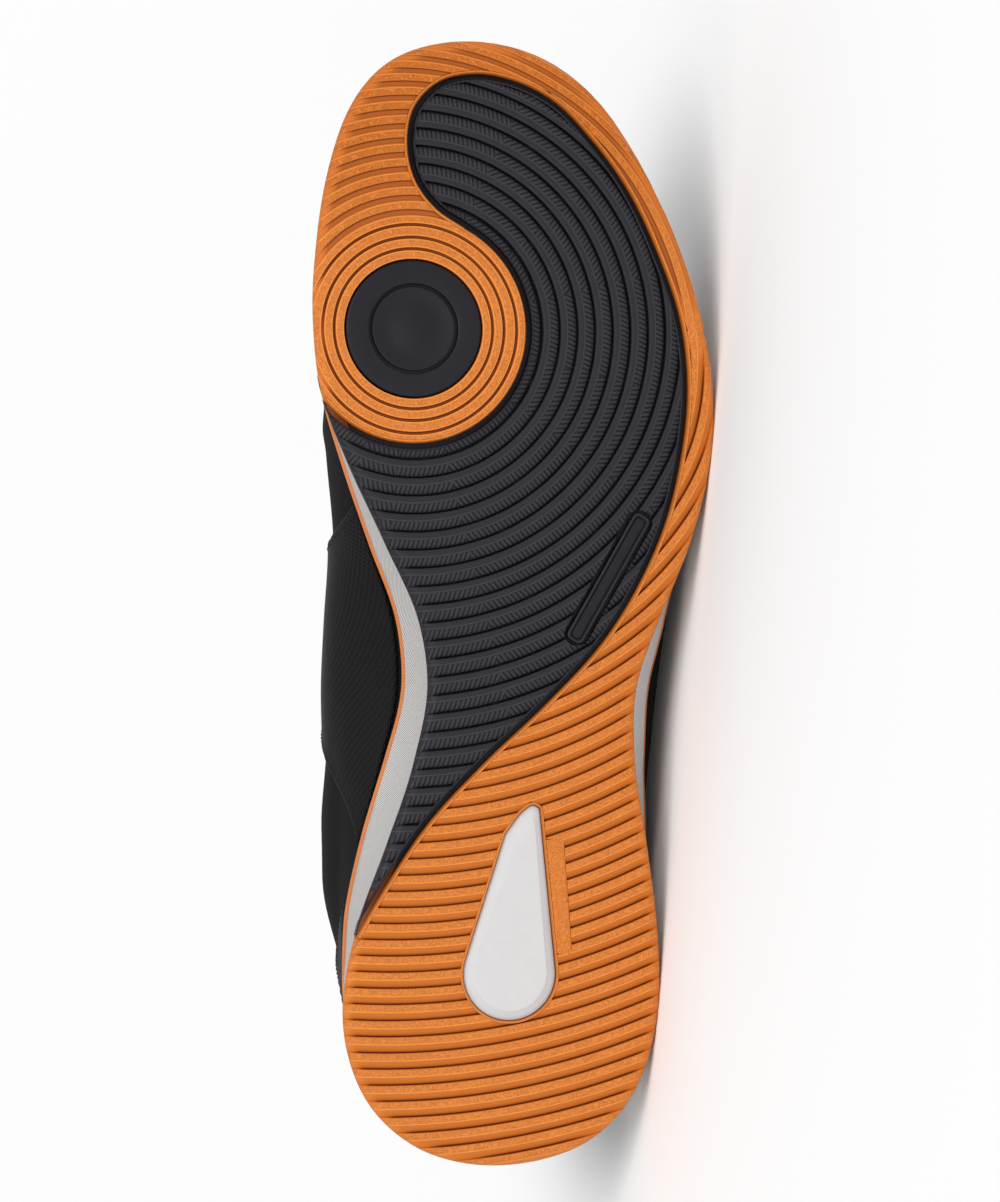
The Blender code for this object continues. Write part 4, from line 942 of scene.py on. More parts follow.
def woven(name, dark, light, across, along, depth, fuzz=0.0):
    """Black cloth of one weave, with lighter thread tops and some loose fuzz."""
    material, tree, shader = finish_of(name, 0.85, specular_ior_level=0.1)
    place = flat_place(tree)[0]
    threads = grouped(tree, WEAVE, {"Place": place, "Across": across, "Along": along})["Height"]
    even = calc(tree, "MULTIPLY", threads, 1 - fuzz)
    mixed = calc(tree, "MULTIPLY_ADD", fuzz_at(tree, place, 2.4), fuzz, even)
    paint(tree, shader, blend(tree, mixed, dark, light))
    raise_surface(tree, shader, mixed, depth, 0.9)
    return material


def ribbed_cloth():
    """Cloth of the upper: fine slanted cords on the vamp, which turn into a looser mesh at the collar."""
    material, tree, shader = finish_of("upper_cloth", 0.8, specular_ior_level=0.12)
    place, along, rise, collar = flat_place(tree)
    slanted = calc(tree, "MULTIPLY_ADD", rise, 0.7, along)
    cord = scaled(tree, calc(tree, "PINGPONG", slanted, 0.45), 0.05, 0.35)
    mesh = grouped(tree, WEAVE, {"Place": place, "Across": 0.75, "Along": 0.75})["Height"]
    even = calc(tree, "MULTIPLY", mesh, 0.6)
    fuzzy = calc(tree, "MULTIPLY_ADD", fuzz_at(tree, place, 2.0), 0.5, even)
    share = scaled(tree, collar, 0.05, 0.4)
    vamp = blend(tree, cord, BLACK, VAMP_CORD)
    paint(tree, shader, blend(tree, share, vamp, blend(tree, fuzzy, *COLLAR_MESH)))
    height = put(tree, "ShaderNodeMix", {0: share, 2: cord, 3: fuzzy}, data_type="FLOAT").outputs[0]
    raise_surface(tree, shader, height, 0.22, 0.9)
    return material


def embossed(name, light, pitch, depth, slant=0.0, dash=0.0):
    """Black coated panel with fine embossed lines, which short dashes may break up."""
    material, tree, shader = finish_of(name, 0.55, specular_ior_level=0.13)
    _, along, rise, _ = flat_place(tree)
    slanted = calc(tree, "MULTIPLY_ADD", along, slant, rise)
    ridge = scaled(tree, calc(tree, "PINGPONG", slanted, pitch / 2), 0.1 * pitch, 0.42 * pitch)
    if dash:
        row = calc(tree, "FLOOR", calc(tree, "DIVIDE", slanted, pitch))
        stagger = calc(tree, "MULTIPLY", calc(tree, "PINGPONG", row, 1.0), dash / 2)
        gap = calc(tree, "PINGPONG", calc(tree, "ADD", along, stagger), dash / 2)
        ridge = calc(tree, "MULTIPLY", ridge, scaled(tree, gap, 0.1 * dash, 0.25 * dash))
    paint(tree, shader, blend(tree, ridge, BLACK, light))
    height = calc(tree, "MULTIPLY_ADD", grain_at(tree, 1.3)["Height"], 0.15, ridge)
    raise_surface(tree, shader, height, depth, 0.8)
    return material


# Sole pieces


# Lines of the tread: radius, depth as a share of the ribs', and the mark that its material shows, which is
# under 0 for a painted highlight on smooth edges, 0 on grained tops, over 0 for painted shade on slopes and
# 1 for the darkest painted shade in crevices
Row = namedtuple("Row", "radius depth mark")
# Marks of a painted highlight: full on rib edges, fainter on the tops of lips
EDGE_HIGHLIGHT_MARK = -0.3
LIP_HIGHLIGHT_MARK = -0.14


def rib_rows(inner, outer, slope):
    """Lines of one saw-tooth rib from the crevice inside it over its top and down its slope."""
    brow = outer - slope
    return [
        Row(inner, 1.0, 1.0), Row(inner + 0.08, 0.35, 0.85), Row(inner + 0.18, 0.06, 0.25),
        Row(inner + 0.32, 0.0, 0.0), Row((inner + brow) / 2, 0.0, 0.0), Row(brow - 0.34, 0.0, 0.0),
        Row(brow - 0.24, 0.0, EDGE_HIGHLIGHT_MARK), Row(brow, 0.03, EDGE_HIGHLIGHT_MARK), Row(brow + 0.13, 0.09, 0.25),
        Row(brow + 0.35 * slope, 0.26, 0.35), Row(brow + 0.7 * slope, 0.56, 0.5),
        Row(outer - 0.16, 0.82, 0.8), Row(outer, 1.0, 1.0)]


def channel_rows(inner, outer, width):
    """Lines of one flat rib from the channel inside it over its top and into the channel outside it."""
    brow = outer - width
    return [
        Row(inner, 0.6, 0.9), Row(inner + 0.1, 0.12, EDGE_HIGHLIGHT_MARK), Row(inner + 0.22, 0.0, EDGE_HIGHLIGHT_MARK),
        Row(inner + 0.34, 0.0, 0.0), Row((inner + brow) / 2, 0.0, 0.0), Row(brow - 0.34, 0.0, 0.0),
        Row(brow - 0.24, 0.0, EDGE_HIGHLIGHT_MARK), Row(brow, 0.03, EDGE_HIGHLIGHT_MARK), Row(brow + 0.12, 0.12, 0.35),
        Row(brow + 0.35, 0.52, 0.78), Row(brow + 0.6, 0.6, 0.72), Row(outer - 0.3, 0.62, 0.74),
        Row(outer, 0.6, 0.95)]


def turn_ring_rows(end):
    """Lines of the ring round the turning disc: the disc's well, three grooves and a plain border."""
    well = DISC_RADIUS + SETTING_GAP
    rows = [
        Row(well, BAY_DEPTH / RIB_DEPTH, 1.0), Row(well, 0.3, 0.8), Row(well + 0.12, 0.08, EDGE_HIGHLIGHT_MARK),
        Row(well + 0.35, 0.0, EDGE_HIGHLIGHT_MARK), Row(well + 0.5, 0.0, 0.0)]
    half, deep = TURN_RING_HALF, TURN_RING_DEPTH / RIB_DEPTH
    bank, land = half + TURN_RING_BANK, half + TURN_RING_LAND
    for radius in TURN_RINGS:
        if radius == TURN_RINGS[-1]:
            rows += [Row(reach, 0.0, 0.0) for reach in RING_EDGE_ROWS]
        rows += [
            Row(radius - land, 0.0, 0.0), Row(radius - bank, 0.0, EDGE_HIGHLIGHT_MARK),
            Row(radius - half, 0.06, EDGE_HIGHLIGHT_MARK), Row(radius - 0.7 * half, 0.8 * deep, 1.0),
            Row(radius - 0.3 * half, deep, 0.9), Row(radius + 0.3 * half, deep, 0.85),
            Row(radius + 0.7 * half, 0.7 * deep, 0.85), Row(radius + half, 0.06, EDGE_HIGHLIGHT_MARK),
            Row(radius + bank, 0.0, EDGE_HIGHLIGHT_MARK), Row(radius + land, 0.0, 0.0)]
    return rows + [Row(end, 0.0, 0.0)]


def tread_centre(radius):
    return PIVOT + DRIFT * max(0.0, radius - DRIFT_START) / DRIFT_SPAN


def tread_line(radius, angles, wander):
    """Plan points of one line of the tread at angles round the pivot."""
    shift = smooth(column(wander, "degrees"), column(wander, "shift"), np.degrees(angles))
    reach = (radius + shift * ease((radius - WANDER_START) / WANDER_RAMP))[..., None]
    return tread_centre(radius) + reach * bearing(angles)


def runs(angles, field, radius):
    """Spans of angle where a field is positive, ended where it passes zero."""
    kept = field > 0
    last = np.nonzero(kept[1:] != kept[:-1])[0]
    share = field[last] / (field[last] - field[last + 1])
    zeros = angles[last] + share * (angles[last + 1] - angles[last])
    ends = np.concatenate([angles[:1][kept[:1]], zeros, angles[-1:][kept[-1:]]])
    return [(a, b) for a, b in ends.reshape(-1, 2) if (b - a) * radius > SHORTEST_RUN]


def longest(spans, low, high):
    """The longest part of some spans inside a slot."""
    parts = [(max(a, low), min(b, high)) for a, b in spans if min(b, high) > max(a, low)]
    return max(parts, key=lambda part: part[1] - part[0]) if parts else None


def spread(length):
    """Shares along a line, closer together at both ends."""
    ends = np.array(END_STEPS)
    if length < 4 * ends[-1]:
        return np.linspace(0, 1, SHORT_STEPS)
    count = max(3, round((length - 2 * ends[-1]) / COLUMN_STEP))
    middle = np.linspace(ends[-1], length - ends[-1], count)
    return np.concatenate([ends[:-1], middle, length - ends[-2::-1]]) / length


def tread_rib(bm, rows, field, wander, start):
    """One rib of the tread: its lines run where the field is positive, so that its ends follow the edge."""
    angles = math.radians(start) + np.linspace(0, 2 * math.pi, ANGLE_STEPS)

    def spans(row):
        return runs(angles, field(tread_line(row.radius, angles, wander)), row.radius)

    def vanishing(kept, lost, low, high):
        """The last line on the way from a row that runs in a slot to one that doesn't."""
        near, far, found = 0.0, 1.0, None
        for _ in range(VANISHING_ROUNDS):
            share = (near + far) / 2
            row = Row(*(a + (b - a) * share for a, b in zip(kept, lost)))
            end = longest(spans(row), low, high)
            if end:
                near, found = share, (row, end)
            else:
                far = share
        return [found] if found else []

    lines = [spans(row) for row in rows]
    base = max(lines, key=len)
    walls = [angles[0], *((a[1] + b[0]) / 2 for a, b in zip(base, base[1:])), angles[-1]]
    for low, high in zip(walls, walls[1:]):
        ends = [longest(line, low, high) for line in lines]
        known = [k for k, end in enumerate(ends) if end]
        if not known:
            continue
        first, last = known[0], known[-1]
        strip = [(rows[k], ends[k]) for k in known]
        if first > 0:
            strip = vanishing(rows[first], rows[first - 1], low, high) + strip
        if last < len(rows) - 1:
            strip = strip + vanishing(rows[last], rows[last + 1], low, high)
        if len(strip) > 1:
            lay_strip(bm, strip, wander)


def lay_strip(bm, strip, wander):
    """Sheet over lines (row, end angles) of the tread, which dies away towards the edge of the sole.

    The orange ribs also die away where those of the toe meet those of the heel."""
    share = spread(max((b - a) * row.radius for row, (a, b) in strip))
    points, flat = [], []
    for row, (a, b) in strip:
        at = a + (b - a) * share
        line = tread_line(row.radius, at, wander)
        fade = EDGE_FADE_LEAST + (1 - EDGE_FADE_LEAST) * ease(from_edge(line) / EDGE_FADE_WIDTH)
        if wander is not NO_WANDER:
            fade = fade * ease(abs(line[:, 0] - PIVOT[0]) / JUNCTION_FADE)
        points.append(tread(line, row.depth * RIB_DEPTH * fade))
        flat.append(marked(line, row.mark * np.where(row.mark > 0, fade, 1.0)))
    sheet(bm, np.array(points), np.array(flat))


def kept_in(points):
    """Plan points with those outside the sole's outline moved back onto it."""
    steps = np.eye(2) / 2
    slope = np.stack([from_edge(points + step) - from_edge(points - step) for step in steps], axis=-1)
    return points + unit(slope) * np.maximum(-from_edge(points), 0)[..., None]


# Rows of a strip along a path on the tread: distance out from the path, depth up from the tread, and mark
Lip = namedtuple("Lip", "out depth mark")


def band(bm, path, section, normals, loop=False):
    """Strip along a plan path, or round a closed one, through the rows of its section."""
    points, flat = [], []
    for row in section:
        line = kept_in(path + normals * row.out)
        points.append(tread(line, row.depth))
        flat.append(marked(line, row.mark))
    points, flat = np.array(points), np.array(flat)
    if loop:
        points, flat = closed(points), closed(flat)
    lay_down(bm, points, flat)


def border_band(bm, side, section):
    """Rim along the border of the dark panel: side 1 on the orange rubber, -1 on the panel itself."""
    path = PANEL[-PANEL_BORDER:]
    normals = outward(PANEL)[-PANEL_BORDER:]
    keep = from_edge(path) > -BORDER_REACH
    band(bm, path[keep], section, normals[keep] * side)


def rim_section(gap, width, fall, drop, top):
    """Rows of a rim from its groove side over its flat top and its rounded edge down into the gap."""
    edge = gap + width
    return [
        Lip(edge, SKIRT, 1.0), Lip(edge, 0.14, 0.5), Lip(edge - 0.1, 0.03, top), Lip(edge - 0.2, 0.0, top),
        Lip(gap + fall, 0.0, top), Lip(gap + 0.84 * fall, 0.1 * drop, 0.5 + 0.5 * top),
        Lip(gap + 0.45 * fall, 0.5 * drop, 0.6), Lip(gap, drop, 0.8), Lip(gap, BAY_DEPTH, 1.0)]


def sole_wall(bm):
    """Upright side of the rubber plate and a backing behind the grooves that run out at its lower edge."""
    loop = outline(SOLE, even_turns(SOLE_STEPS))
    held = HELD_BACK * (from_panel(loop) > -SETTING_GAP - LIP_WIDTH)
    rows = [tread(offset(loop, -hem.inset - held), hem.z + held) for hem in BACKING]
    for hem in SIDE_WALL:
        plan = offset(loop, -hem.inset)
        rows.append(ring_at(plan, ground(plan[:, 0]) + hem.z))
    points = closed(np.array(rows))
    mark = np.full(points.shape[:2], SIDE_MARK)
    # Painted shade: rows under the tread panel take the crevice colour
    under_panel = from_panel(points[len(BACKING), :, :2]) > 0
    mark[:PANEL_SHADE_ROWS] = np.where(under_panel, 1.0, SIDE_MARK)
    sheet(bm, points, marked(points, mark), flip=True)


def plate(bm, z):
    """Flat layer of the sole that closes what lies behind the gaps of the tread, painted with crevice shade.
    """
    rows, columns = PLATE_STEPS
    turn = np.linspace(math.pi - PLATE_END_MARGIN, PLATE_END_MARGIN, columns)
    share = np.linspace(PLATE_SIDE_MARGIN, 1 - PLATE_SIDE_MARGIN, rows)[:, None, None]
    plan = outline(SOLE, 2 * math.pi - turn) * (1 - share) + outline(SOLE, turn) * share
    points = np.concatenate([plan, (ground(plan[..., 0]) + z)[..., None]], axis=-1)
    lay_down(bm, points, marked(points, PLATE_SHADE_MARK))


# Plain strip beside the heel insert: share of its width, and depth
Strip = namedtuple("Strip", "share depth")
STRIP_ROWS = [
    Strip(0.0, 0.0), Strip(0.5, 0.0), Strip(0.92, 0.0), Strip(0.97, 0.05), Strip(1.0, 0.2),
    Strip(1.0, SKIRT)]


def plain_strip(bm):
    """Smooth strip from the heel insert's rim to an upright edge."""
    low_left, high_left, high_right, low_right = np.array(PLAIN_STRIP)
    shares = np.linspace(0, 1, STRIP_STEPS[0])
    along = np.linspace(0, 1, STRIP_STEPS[1])[:, None]
    left = low_left * (1 - along) + high_left * along
    right = low_right * (1 - along) + high_right * along
    away = np.array([-from_drop(left * (1 - share) + right * share) for share in shares])
    start = np.array([np.interp(DROP_RIM, line, shares) for line in away.T])[:, None]
    left = left * (1 - start) + right * start
    points = np.array([tread(left * (1 - row.share) + right * row.share, row.depth) for row in STRIP_ROWS])
    lay_down(bm, points, marked(points, 0.0))


def outsole(material):
    """Orange rubber plate with ribs at toe and heel, pivot rings and the bays for its inserts."""
    bm = new_mesh()
    rim = SETTING_GAP + LIP_WIDTH
    ring_edge = RING_RADIUS - rim

    def toe_field(points):
        ahead = points[..., 0] - PIVOT[0]
        return np.minimum.reduce([from_edge(points), -from_panel(points) - rim - BORDER_MARGIN, ahead])

    def heel_field(points):
        behind = PIVOT[0] - points[..., 0]
        off_drop = np.minimum(-from_drop(points) - DROP_RIM, -from_strip(points))
        return np.minimum.reduce([from_edge(points), -from_panel(points) - rim, off_drop, behind])

    radii = np.arange(HEEL_RIB_FIRST, RIB_END, HEEL_RIB_PITCH)
    for inner, outer in zip(radii, radii[1:]):
        tread_rib(bm, rib_rows(inner, outer, HEEL_RIB_SLOPE), heel_field, HEEL_WANDER, HEEL_SEAM)
    first = channel_rows(ring_edge, TOE_RIB_FIRST, TOE_RIB_SLOPE)[TOE_FIRST_ROW:]
    tread_rib(bm, [Row(ring_edge, 0.0, 0.0), *first], toe_field, TOE_WANDER, TOE_SEAM)
    radii = np.arange(TOE_RIB_FIRST, TOE_RIB_END, TOE_RIB_PITCH)
    for inner, outer in zip(radii, radii[1:]):
        tread_rib(bm, channel_rows(inner, outer, TOE_RIB_SLOPE), toe_field, TOE_WANDER, TOE_SEAM)
    tread_rib(bm, turn_ring_rows(ring_edge), from_edge, NO_WANDER, RING_SEAM)
    border_band(bm, 1, rim_section(SETTING_GAP, LIP_WIDTH, LIP_FALL, LIP_DROP, LIP_HIGHLIGHT_MARK))
    drop_rim = rim_section(DROP_GAP, DROP_RIM - DROP_GAP, DROP_RIM_FALL, DROP_RIM_DROP, LIP_HIGHLIGHT_MARK)
    band(bm, DROP, drop_rim, outward(DROP), loop=True)
    plain_strip(bm)
    sole_wall(bm)
    plate(bm, BAY_DEPTH)
    weld(bm)
    return piece(bm, "outsole_rubber", [material], ["outsole"])


def backing(bm):
    """Hatched layer just behind the crevices of the tread panel, open round the bar."""
    layer = bm.verts.layers.float_vector["flat"]
    long, wide = LAYER_STEPS
    made = bmesh.ops.create_grid(bm, x_segments=long, y_segments=wide, size=1)["verts"]
    plan = np.array([vert.co[:2] for vert in made]) * LAYER_HALF + [LENGTH / 2, 0.0]
    for vert, place in zip(made, tread(plan, RIB_DEPTH + LAYER_DEPTH).tolist()):
        vert.co = place
        vert[layer] = (*place[:2], LAYER_MARK)
    off_bar = from_bar(plan) - BAR_RADIUS - LAYER_OFF_BAR
    in_panel = np.minimum(from_panel(plan) - PANEL_GAP - LAYER_INSET, from_edge(plan) - LAYER_EDGE)
    kept = np.minimum(in_panel, off_bar) > 0
    bmesh.ops.reverse_faces(bm, faces=[face for face in faces_of(made) if face.normal.z > 0])
    bmesh.ops.delete(bm, geom=[vert for vert, keep in zip(made, kept) if not keep], context="VERTS")


def framed_bar(bm):
    """Plain bar with a raised frame and a sunk field, in a moat of the tread panel."""
    a, b = BAR_ENDS
    way = (b - a) / np.linalg.norm(b - a)
    side = np.array([-way[1], way[0]])
    angles = np.linspace(-math.pi / 2, math.pi / 2, BAR_STEPS // 2)
    ahead = abs(np.cos(angles)) ** BAR_SQUARE
    across = np.sign(angles) * abs(np.sin(angles)) ** BAR_SQUARE
    cap = ahead[:, None] * way + across[:, None] * side
    top = BAR_RADIUS - BAR_GROOVE
    floor = top - BAR_FRAME
    # Marks of 1 in the moat and 0.9 on the sunk field paint them with crevice shade
    section = [
        Lip(BAR_RADIUS + BAR_FLANGE, RIB_DEPTH + 0.1, 0.5), Lip(BAR_RADIUS, RIB_DEPTH + 0.06, 0.5),
        Lip(BAR_RADIUS, BAR_MOAT, 1.0), Lip(top, BAR_MOAT, 1.0), Lip(top, 0.3, 1.0),
        Lip(top - 0.1, 0.06, EDGE_HIGHLIGHT_MARK), Lip(top - 0.22, 0.0, 0.0), Lip(floor + 0.22, 0.0, 0.0),
        Lip(floor + 0.1, 0.04, EDGE_HIGHLIGHT_MARK), Lip(floor, 0.95, 1.0), Lip(floor - 0.3, 0.95, 1.0),
        Lip(floor - 0.5, 0.6, 0.9), Lip(0.0, 0.55, 0.9)]
    band(bm, np.repeat([b, a], len(cap), axis=0), section, np.concatenate([cap, -cap]), loop=True)


def panel_wall(bm):
    """Side of the tread panel where it runs out at the inner edge of the sole."""
    plan = outline(SOLE, np.linspace(math.pi, 2 * math.pi, OUTLINE_STEPS))
    plan = plan[from_panel(plan) > SETTING_GAP]
    points = np.array([ring_at(plan, ground(plan[:, 0]) + z) for z in PANEL_WALL])
    sheet(bm, points, marked(points, 0.0), flip=True)


def tread_panel(material):
    """Dark rubber panel with hatched ribs, a rim along its border and a plain bar."""
    bm = new_mesh()
    rim = PANEL_GAP + PANEL_RIM

    def field(points):
        inner = np.minimum(from_panel(points) - rim, from_bar(points) - BAR_RADIUS)
        return np.minimum(from_edge(points), inner)

    radii = list(np.arange(PANEL_RIB_FIRST, PANEL_WAIST_START, PANEL_RIB_PITCH))
    radii += list(np.arange(radii[-1] + PANEL_WAIST_PITCH, RIB_END, PANEL_WAIST_PITCH))
    first = [
        Row(RING_RADIUS + rim + BORDER_MARGIN, 0.1, 0.3), Row(PANEL_FIRST_SLOPE, 0.5, 0.5),
        Row(radii[0] - 0.16, 0.9, 0.85), Row(radii[0], 1.0, 1.0)]
    tread_rib(bm, first, field, NO_WANDER, PANEL_SEAM)
    for inner, outer in zip(radii, radii[1:]):
        tread_rib(bm, rib_rows(inner, outer, PANEL_RIB_SLOPE), field, NO_WANDER, PANEL_SEAM)
    rim_rows = rim_section(PANEL_GAP, PANEL_RIM, PANEL_RIM_FALL, PANEL_RIM_DROP, 0.0)[:-1]
    gap_floor = [Lip(PANEL_GAP, GAP_FLOOR, 1.0), Lip(GAP_FLOOR_END, GAP_FLOOR, 1.0)]
    border_band(bm, -1, rim_rows + gap_floor)
    framed_bar(bm)
    backing(bm)
    panel_wall(bm)
    weld(bm)
    return piece(bm, "tread_panel_rubber", [material], ["tread_panel"])


# Turning disc from the low dome in its middle over a ring groove to its rounded rim
Turn = namedtuple("Turn", "radius z")
DISC_FACE = [
    Turn(0.0, 0.0), Turn(0.8, 0.02), Turn(1.6, 0.07), Turn(2.6, 0.17), Turn(3.8, 0.36), Turn(5.0, 0.58),
    Turn(6.0, 0.74), Turn(6.8, 0.8), Turn(7.6, 0.79), Turn(9.0, 0.6), Turn(10.2, 0.36), Turn(10.6, 0.31),
    Turn(10.75, 0.34), Turn(10.87, 0.5), Turn(10.95, 1.4), Turn(11.6, 1.4), Turn(11.7, 0.2),
    Turn(11.85, 0.05),
    Turn(12.1, 0.0), Turn(16.8, 0.0), Turn(17.2, 0.05), Turn(17.5, 0.2), Turn(17.7, 0.5), Turn(17.7, 3.3)]


def pivot_disc(material):
    """Turned disc: its half section is spun about the pivot."""
    bm = new_mesh()
    verts = [bm.verts.new((PIVOT[0] + turn.radius, PIVOT[1], turn.z)) for turn in DISC_FACE]
    edges = [bm.edges.new(pair) for pair in zip(verts, verts[1:])]
    bmesh.ops.spin(bm, geom=verts + edges, cent=(*PIVOT, 0), axis=(0, 0, 1), angle=2 * math.pi,
                   steps=DISC_STEPS, use_merge=True)
    weld(bm, 0.002)
    bmesh.ops.recalc_face_normals(bm, faces=bm.faces)
    layer = bm.verts.layers.float_vector["flat"]
    for vert in bm.verts:
        reach = math.hypot(vert.co.x - PIVOT[0], vert.co.y - PIVOT[1])
        vert[layer] = (0, reach, 0)
        vert.co.z += float(ground(vert.co.x))
    if sum(face.normal.z * face.calc_area() for face in bm.faces) > 0:
        bmesh.ops.reverse_faces(bm, faces=bm.faces)
    return piece(bm, "pivot_disc_rubber", [material], ["pivot_disc"])


# Heel insert from its wall over the bevel to its field: share of the way from outline to field, and depth
Level = namedtuple("Level", "share z")
INSERT_LEVELS = [
    Level(0.0, BAY_DEPTH - CLEAR), Level(0.0, DROP_BEVEL_DEPTH + 0.4), Level(0.03, DROP_BEVEL_DEPTH + 0.2),
    Level(0.1, DROP_BEVEL_DEPTH + 0.08), Level(0.5, 0.58), Level(0.92, 0.16), Level(0.96, 0.1),
    Level(0.985, 0.02), Level(1.0, 0.0)]


def heel_insert(material):
    """Drop-shaped plate with bevelled sides and a smooth raised field."""
    bm = new_mesh()
    field = drop_loop(DROP_RADIUS - DROP_BEVEL, DROP_FIELD_TIP)
    loops = [(DROP * (1 - level.share) + field * level.share, level.z) for level in INSERT_LEVELS]
    loops.append((field * (1 - DROP_FIELD_INSET) + DROP_FIELD_CENTRE * DROP_FIELD_INSET, 0.0))
    rings = [ring_at(loop, ground(loop[:, 0]) + z) for loop, z in loops]
    middle = ring_at(np.tile(DROP_FIELD_CENTRE, (len(DROP), 1)), 0.0)
    for share in DROP_FIELD_SHARES:
        rings.append(rings[-1] * (1 - share) + middle * share)
    lay_down(bm, closed(np.array(rings)))
    weld(bm)
    edges = [edge for edge in bm.edges if edge.is_boundary and edge.verts[0].co.z < 1]
    bmesh.ops.contextual_create(bm, geom=edges)
    return piece(bm, "heel_insert_foam", [material], ["heel_insert"], 50)


def flare(turn, x):
    """How far the midsole's top edge stands out past the outsole on the side that the turn is on."""
    medial = smooth(column(MIDSOLE, "x"), column(MIDSOLE, "medial"), x)
    lateral = smooth(column(MIDSOLE, "x"), column(MIDSOLE, "lateral"), x)
    return np.where(np.mod(turn, 2 * math.pi) > math.pi, medial, lateral)


def midsole_top(x):
    return smooth(column(MIDSOLE, "x"), column(MIDSOLE, "top"), x) + ground(x)


def sole_offset(turn, share=1.0, extra=0.0):
    """Sole outline moved out by a share of the midsole's flare and a little extra."""
    fine = 1e-3
    loop = outline(SOLE, turn)
    normal = right_of(outline(SOLE, turn + fine) - outline(SOLE, turn - fine))
    return loop + normal * (share * flare(turn, loop[:, 0]) + extra)[:, None]


def lengths(points, axis):
    """Running length along one axis of an array of points."""
    steps = np.linalg.norm(np.diff(points, axis=axis), axis=-1)
    start = np.zeros_like(np.take(steps, [0], axis=axis))
    return np.cumsum(np.concatenate([start, steps], axis=axis), axis=axis)


def fill_ends(bm):
    """Closes what is open at the ends of a ring of sheets."""
    bmesh.ops.holes_fill(bm, edges=[edge for edge in bm.edges if edge.is_boundary], sides=0)


def midsole(material):
    """Foam wedge whose side flares out at the waist."""
    bm = new_mesh()
    turn = even_turns(WEDGE_STEPS)
    rings = []
    for ring in MIDSOLE_RINGS:
        loop = sole_offset(turn, ring.share, ring.extra)
        start = ground(loop[:, 0]) + OUTSOLE_THICK + CLEAR
        rings.append(ring_at(loop, start + ring.rise * (midsole_top(loop[:, 0]) - start)))
    inner = sole_offset(turn, 1.0, -WEDGE_TOP_INSET)
    rings.append(ring_at(inner, midsole_top(inner[:, 0])))
    points = closed(np.array(rings))
    along = np.broadcast_to(lengths(points, 1)[len(MIDSOLE_RINGS) // 2], points.shape[:2])
    ribbed = np.ones(points.shape[:2])
    ribbed[-WEDGE_PLAIN_RINGS:] = 0.0
    sheet(bm, points, np.stack([along, lengths(points, 0), ribbed], axis=-1), flip=True)
    weld(bm)
    fill_ends(bm)
    return piece(bm, "midsole_foam", [material], ["midsole"], 50)


def on_midsole(count, section):
    """Closed rings over the midsole's top, from rows of (distance out from its edge, lift)."""
    turn = even_turns(count)
    rings = []
    for out, lift in section:
        loop = sole_offset(turn, 1.0, out)
        rings.append(ring_at(loop, midsole_top(loop[:, 0]) + CLEAR + lift))
    return closed(np.array(rings))


def midsole_rim(material):
    """Thin coloured line with rounded edges that lies on the midsole's top edge all the way round."""
    bm = new_mesh()
    corner, side = LINE_PROUD - LINE_CORNER, LINE_PROUD - LINE_SOFT
    section = (
        (-LINE_WIDTH, 0.0), (side, 0.0), (corner, LINE_CORNER), (LINE_PROUD, LINE_SOFT),
        (LINE_PROUD, LINE_THICK - LINE_SOFT), (corner, LINE_THICK - LINE_CORNER), (side, LINE_THICK),
        (-LINE_WIDTH, LINE_THICK), (-LINE_WIDTH, 0.0))
    sheet(bm, on_midsole(WEDGE_STEPS, section), flip=True)
    weld(bm)
    return piece(bm, "midsole_rim_line", [material], ["midsole_rim"], 50)


def insole(material):
    """Footbed on the midsole that reaches over its rim to the wall, its edge turned up a little."""
    bm = new_mesh()
    over = LINE_THICK + 2 * CLEAR
    foot = -LINE_WIDTH - INSOLE_INSET
    edge = -INSOLE_REACH
    section = (
        (foot, 0.0), (foot, over), (edge, over), (edge, INSOLE_THICK - 0.8),
        (edge - 0.4, INSOLE_THICK - 0.2), (edge - 1.2, INSOLE_THICK), (edge - 5, INSOLE_THICK - 0.3),
        (edge - 12, INSOLE_THICK - 0.7), (edge - 20, INSOLE_THICK - 0.8))
    sheet(bm, on_midsole(INSOLE_STEPS, section), flip=True)
    weld(bm)
    fill_ends(bm)
    return piece(bm, "insole_footbed", [material], ["insole"], 50)


# Upper


def girth(name, x):
    return smooth(column(GIRTHS, "x"), column(GIRTHS, name), x)


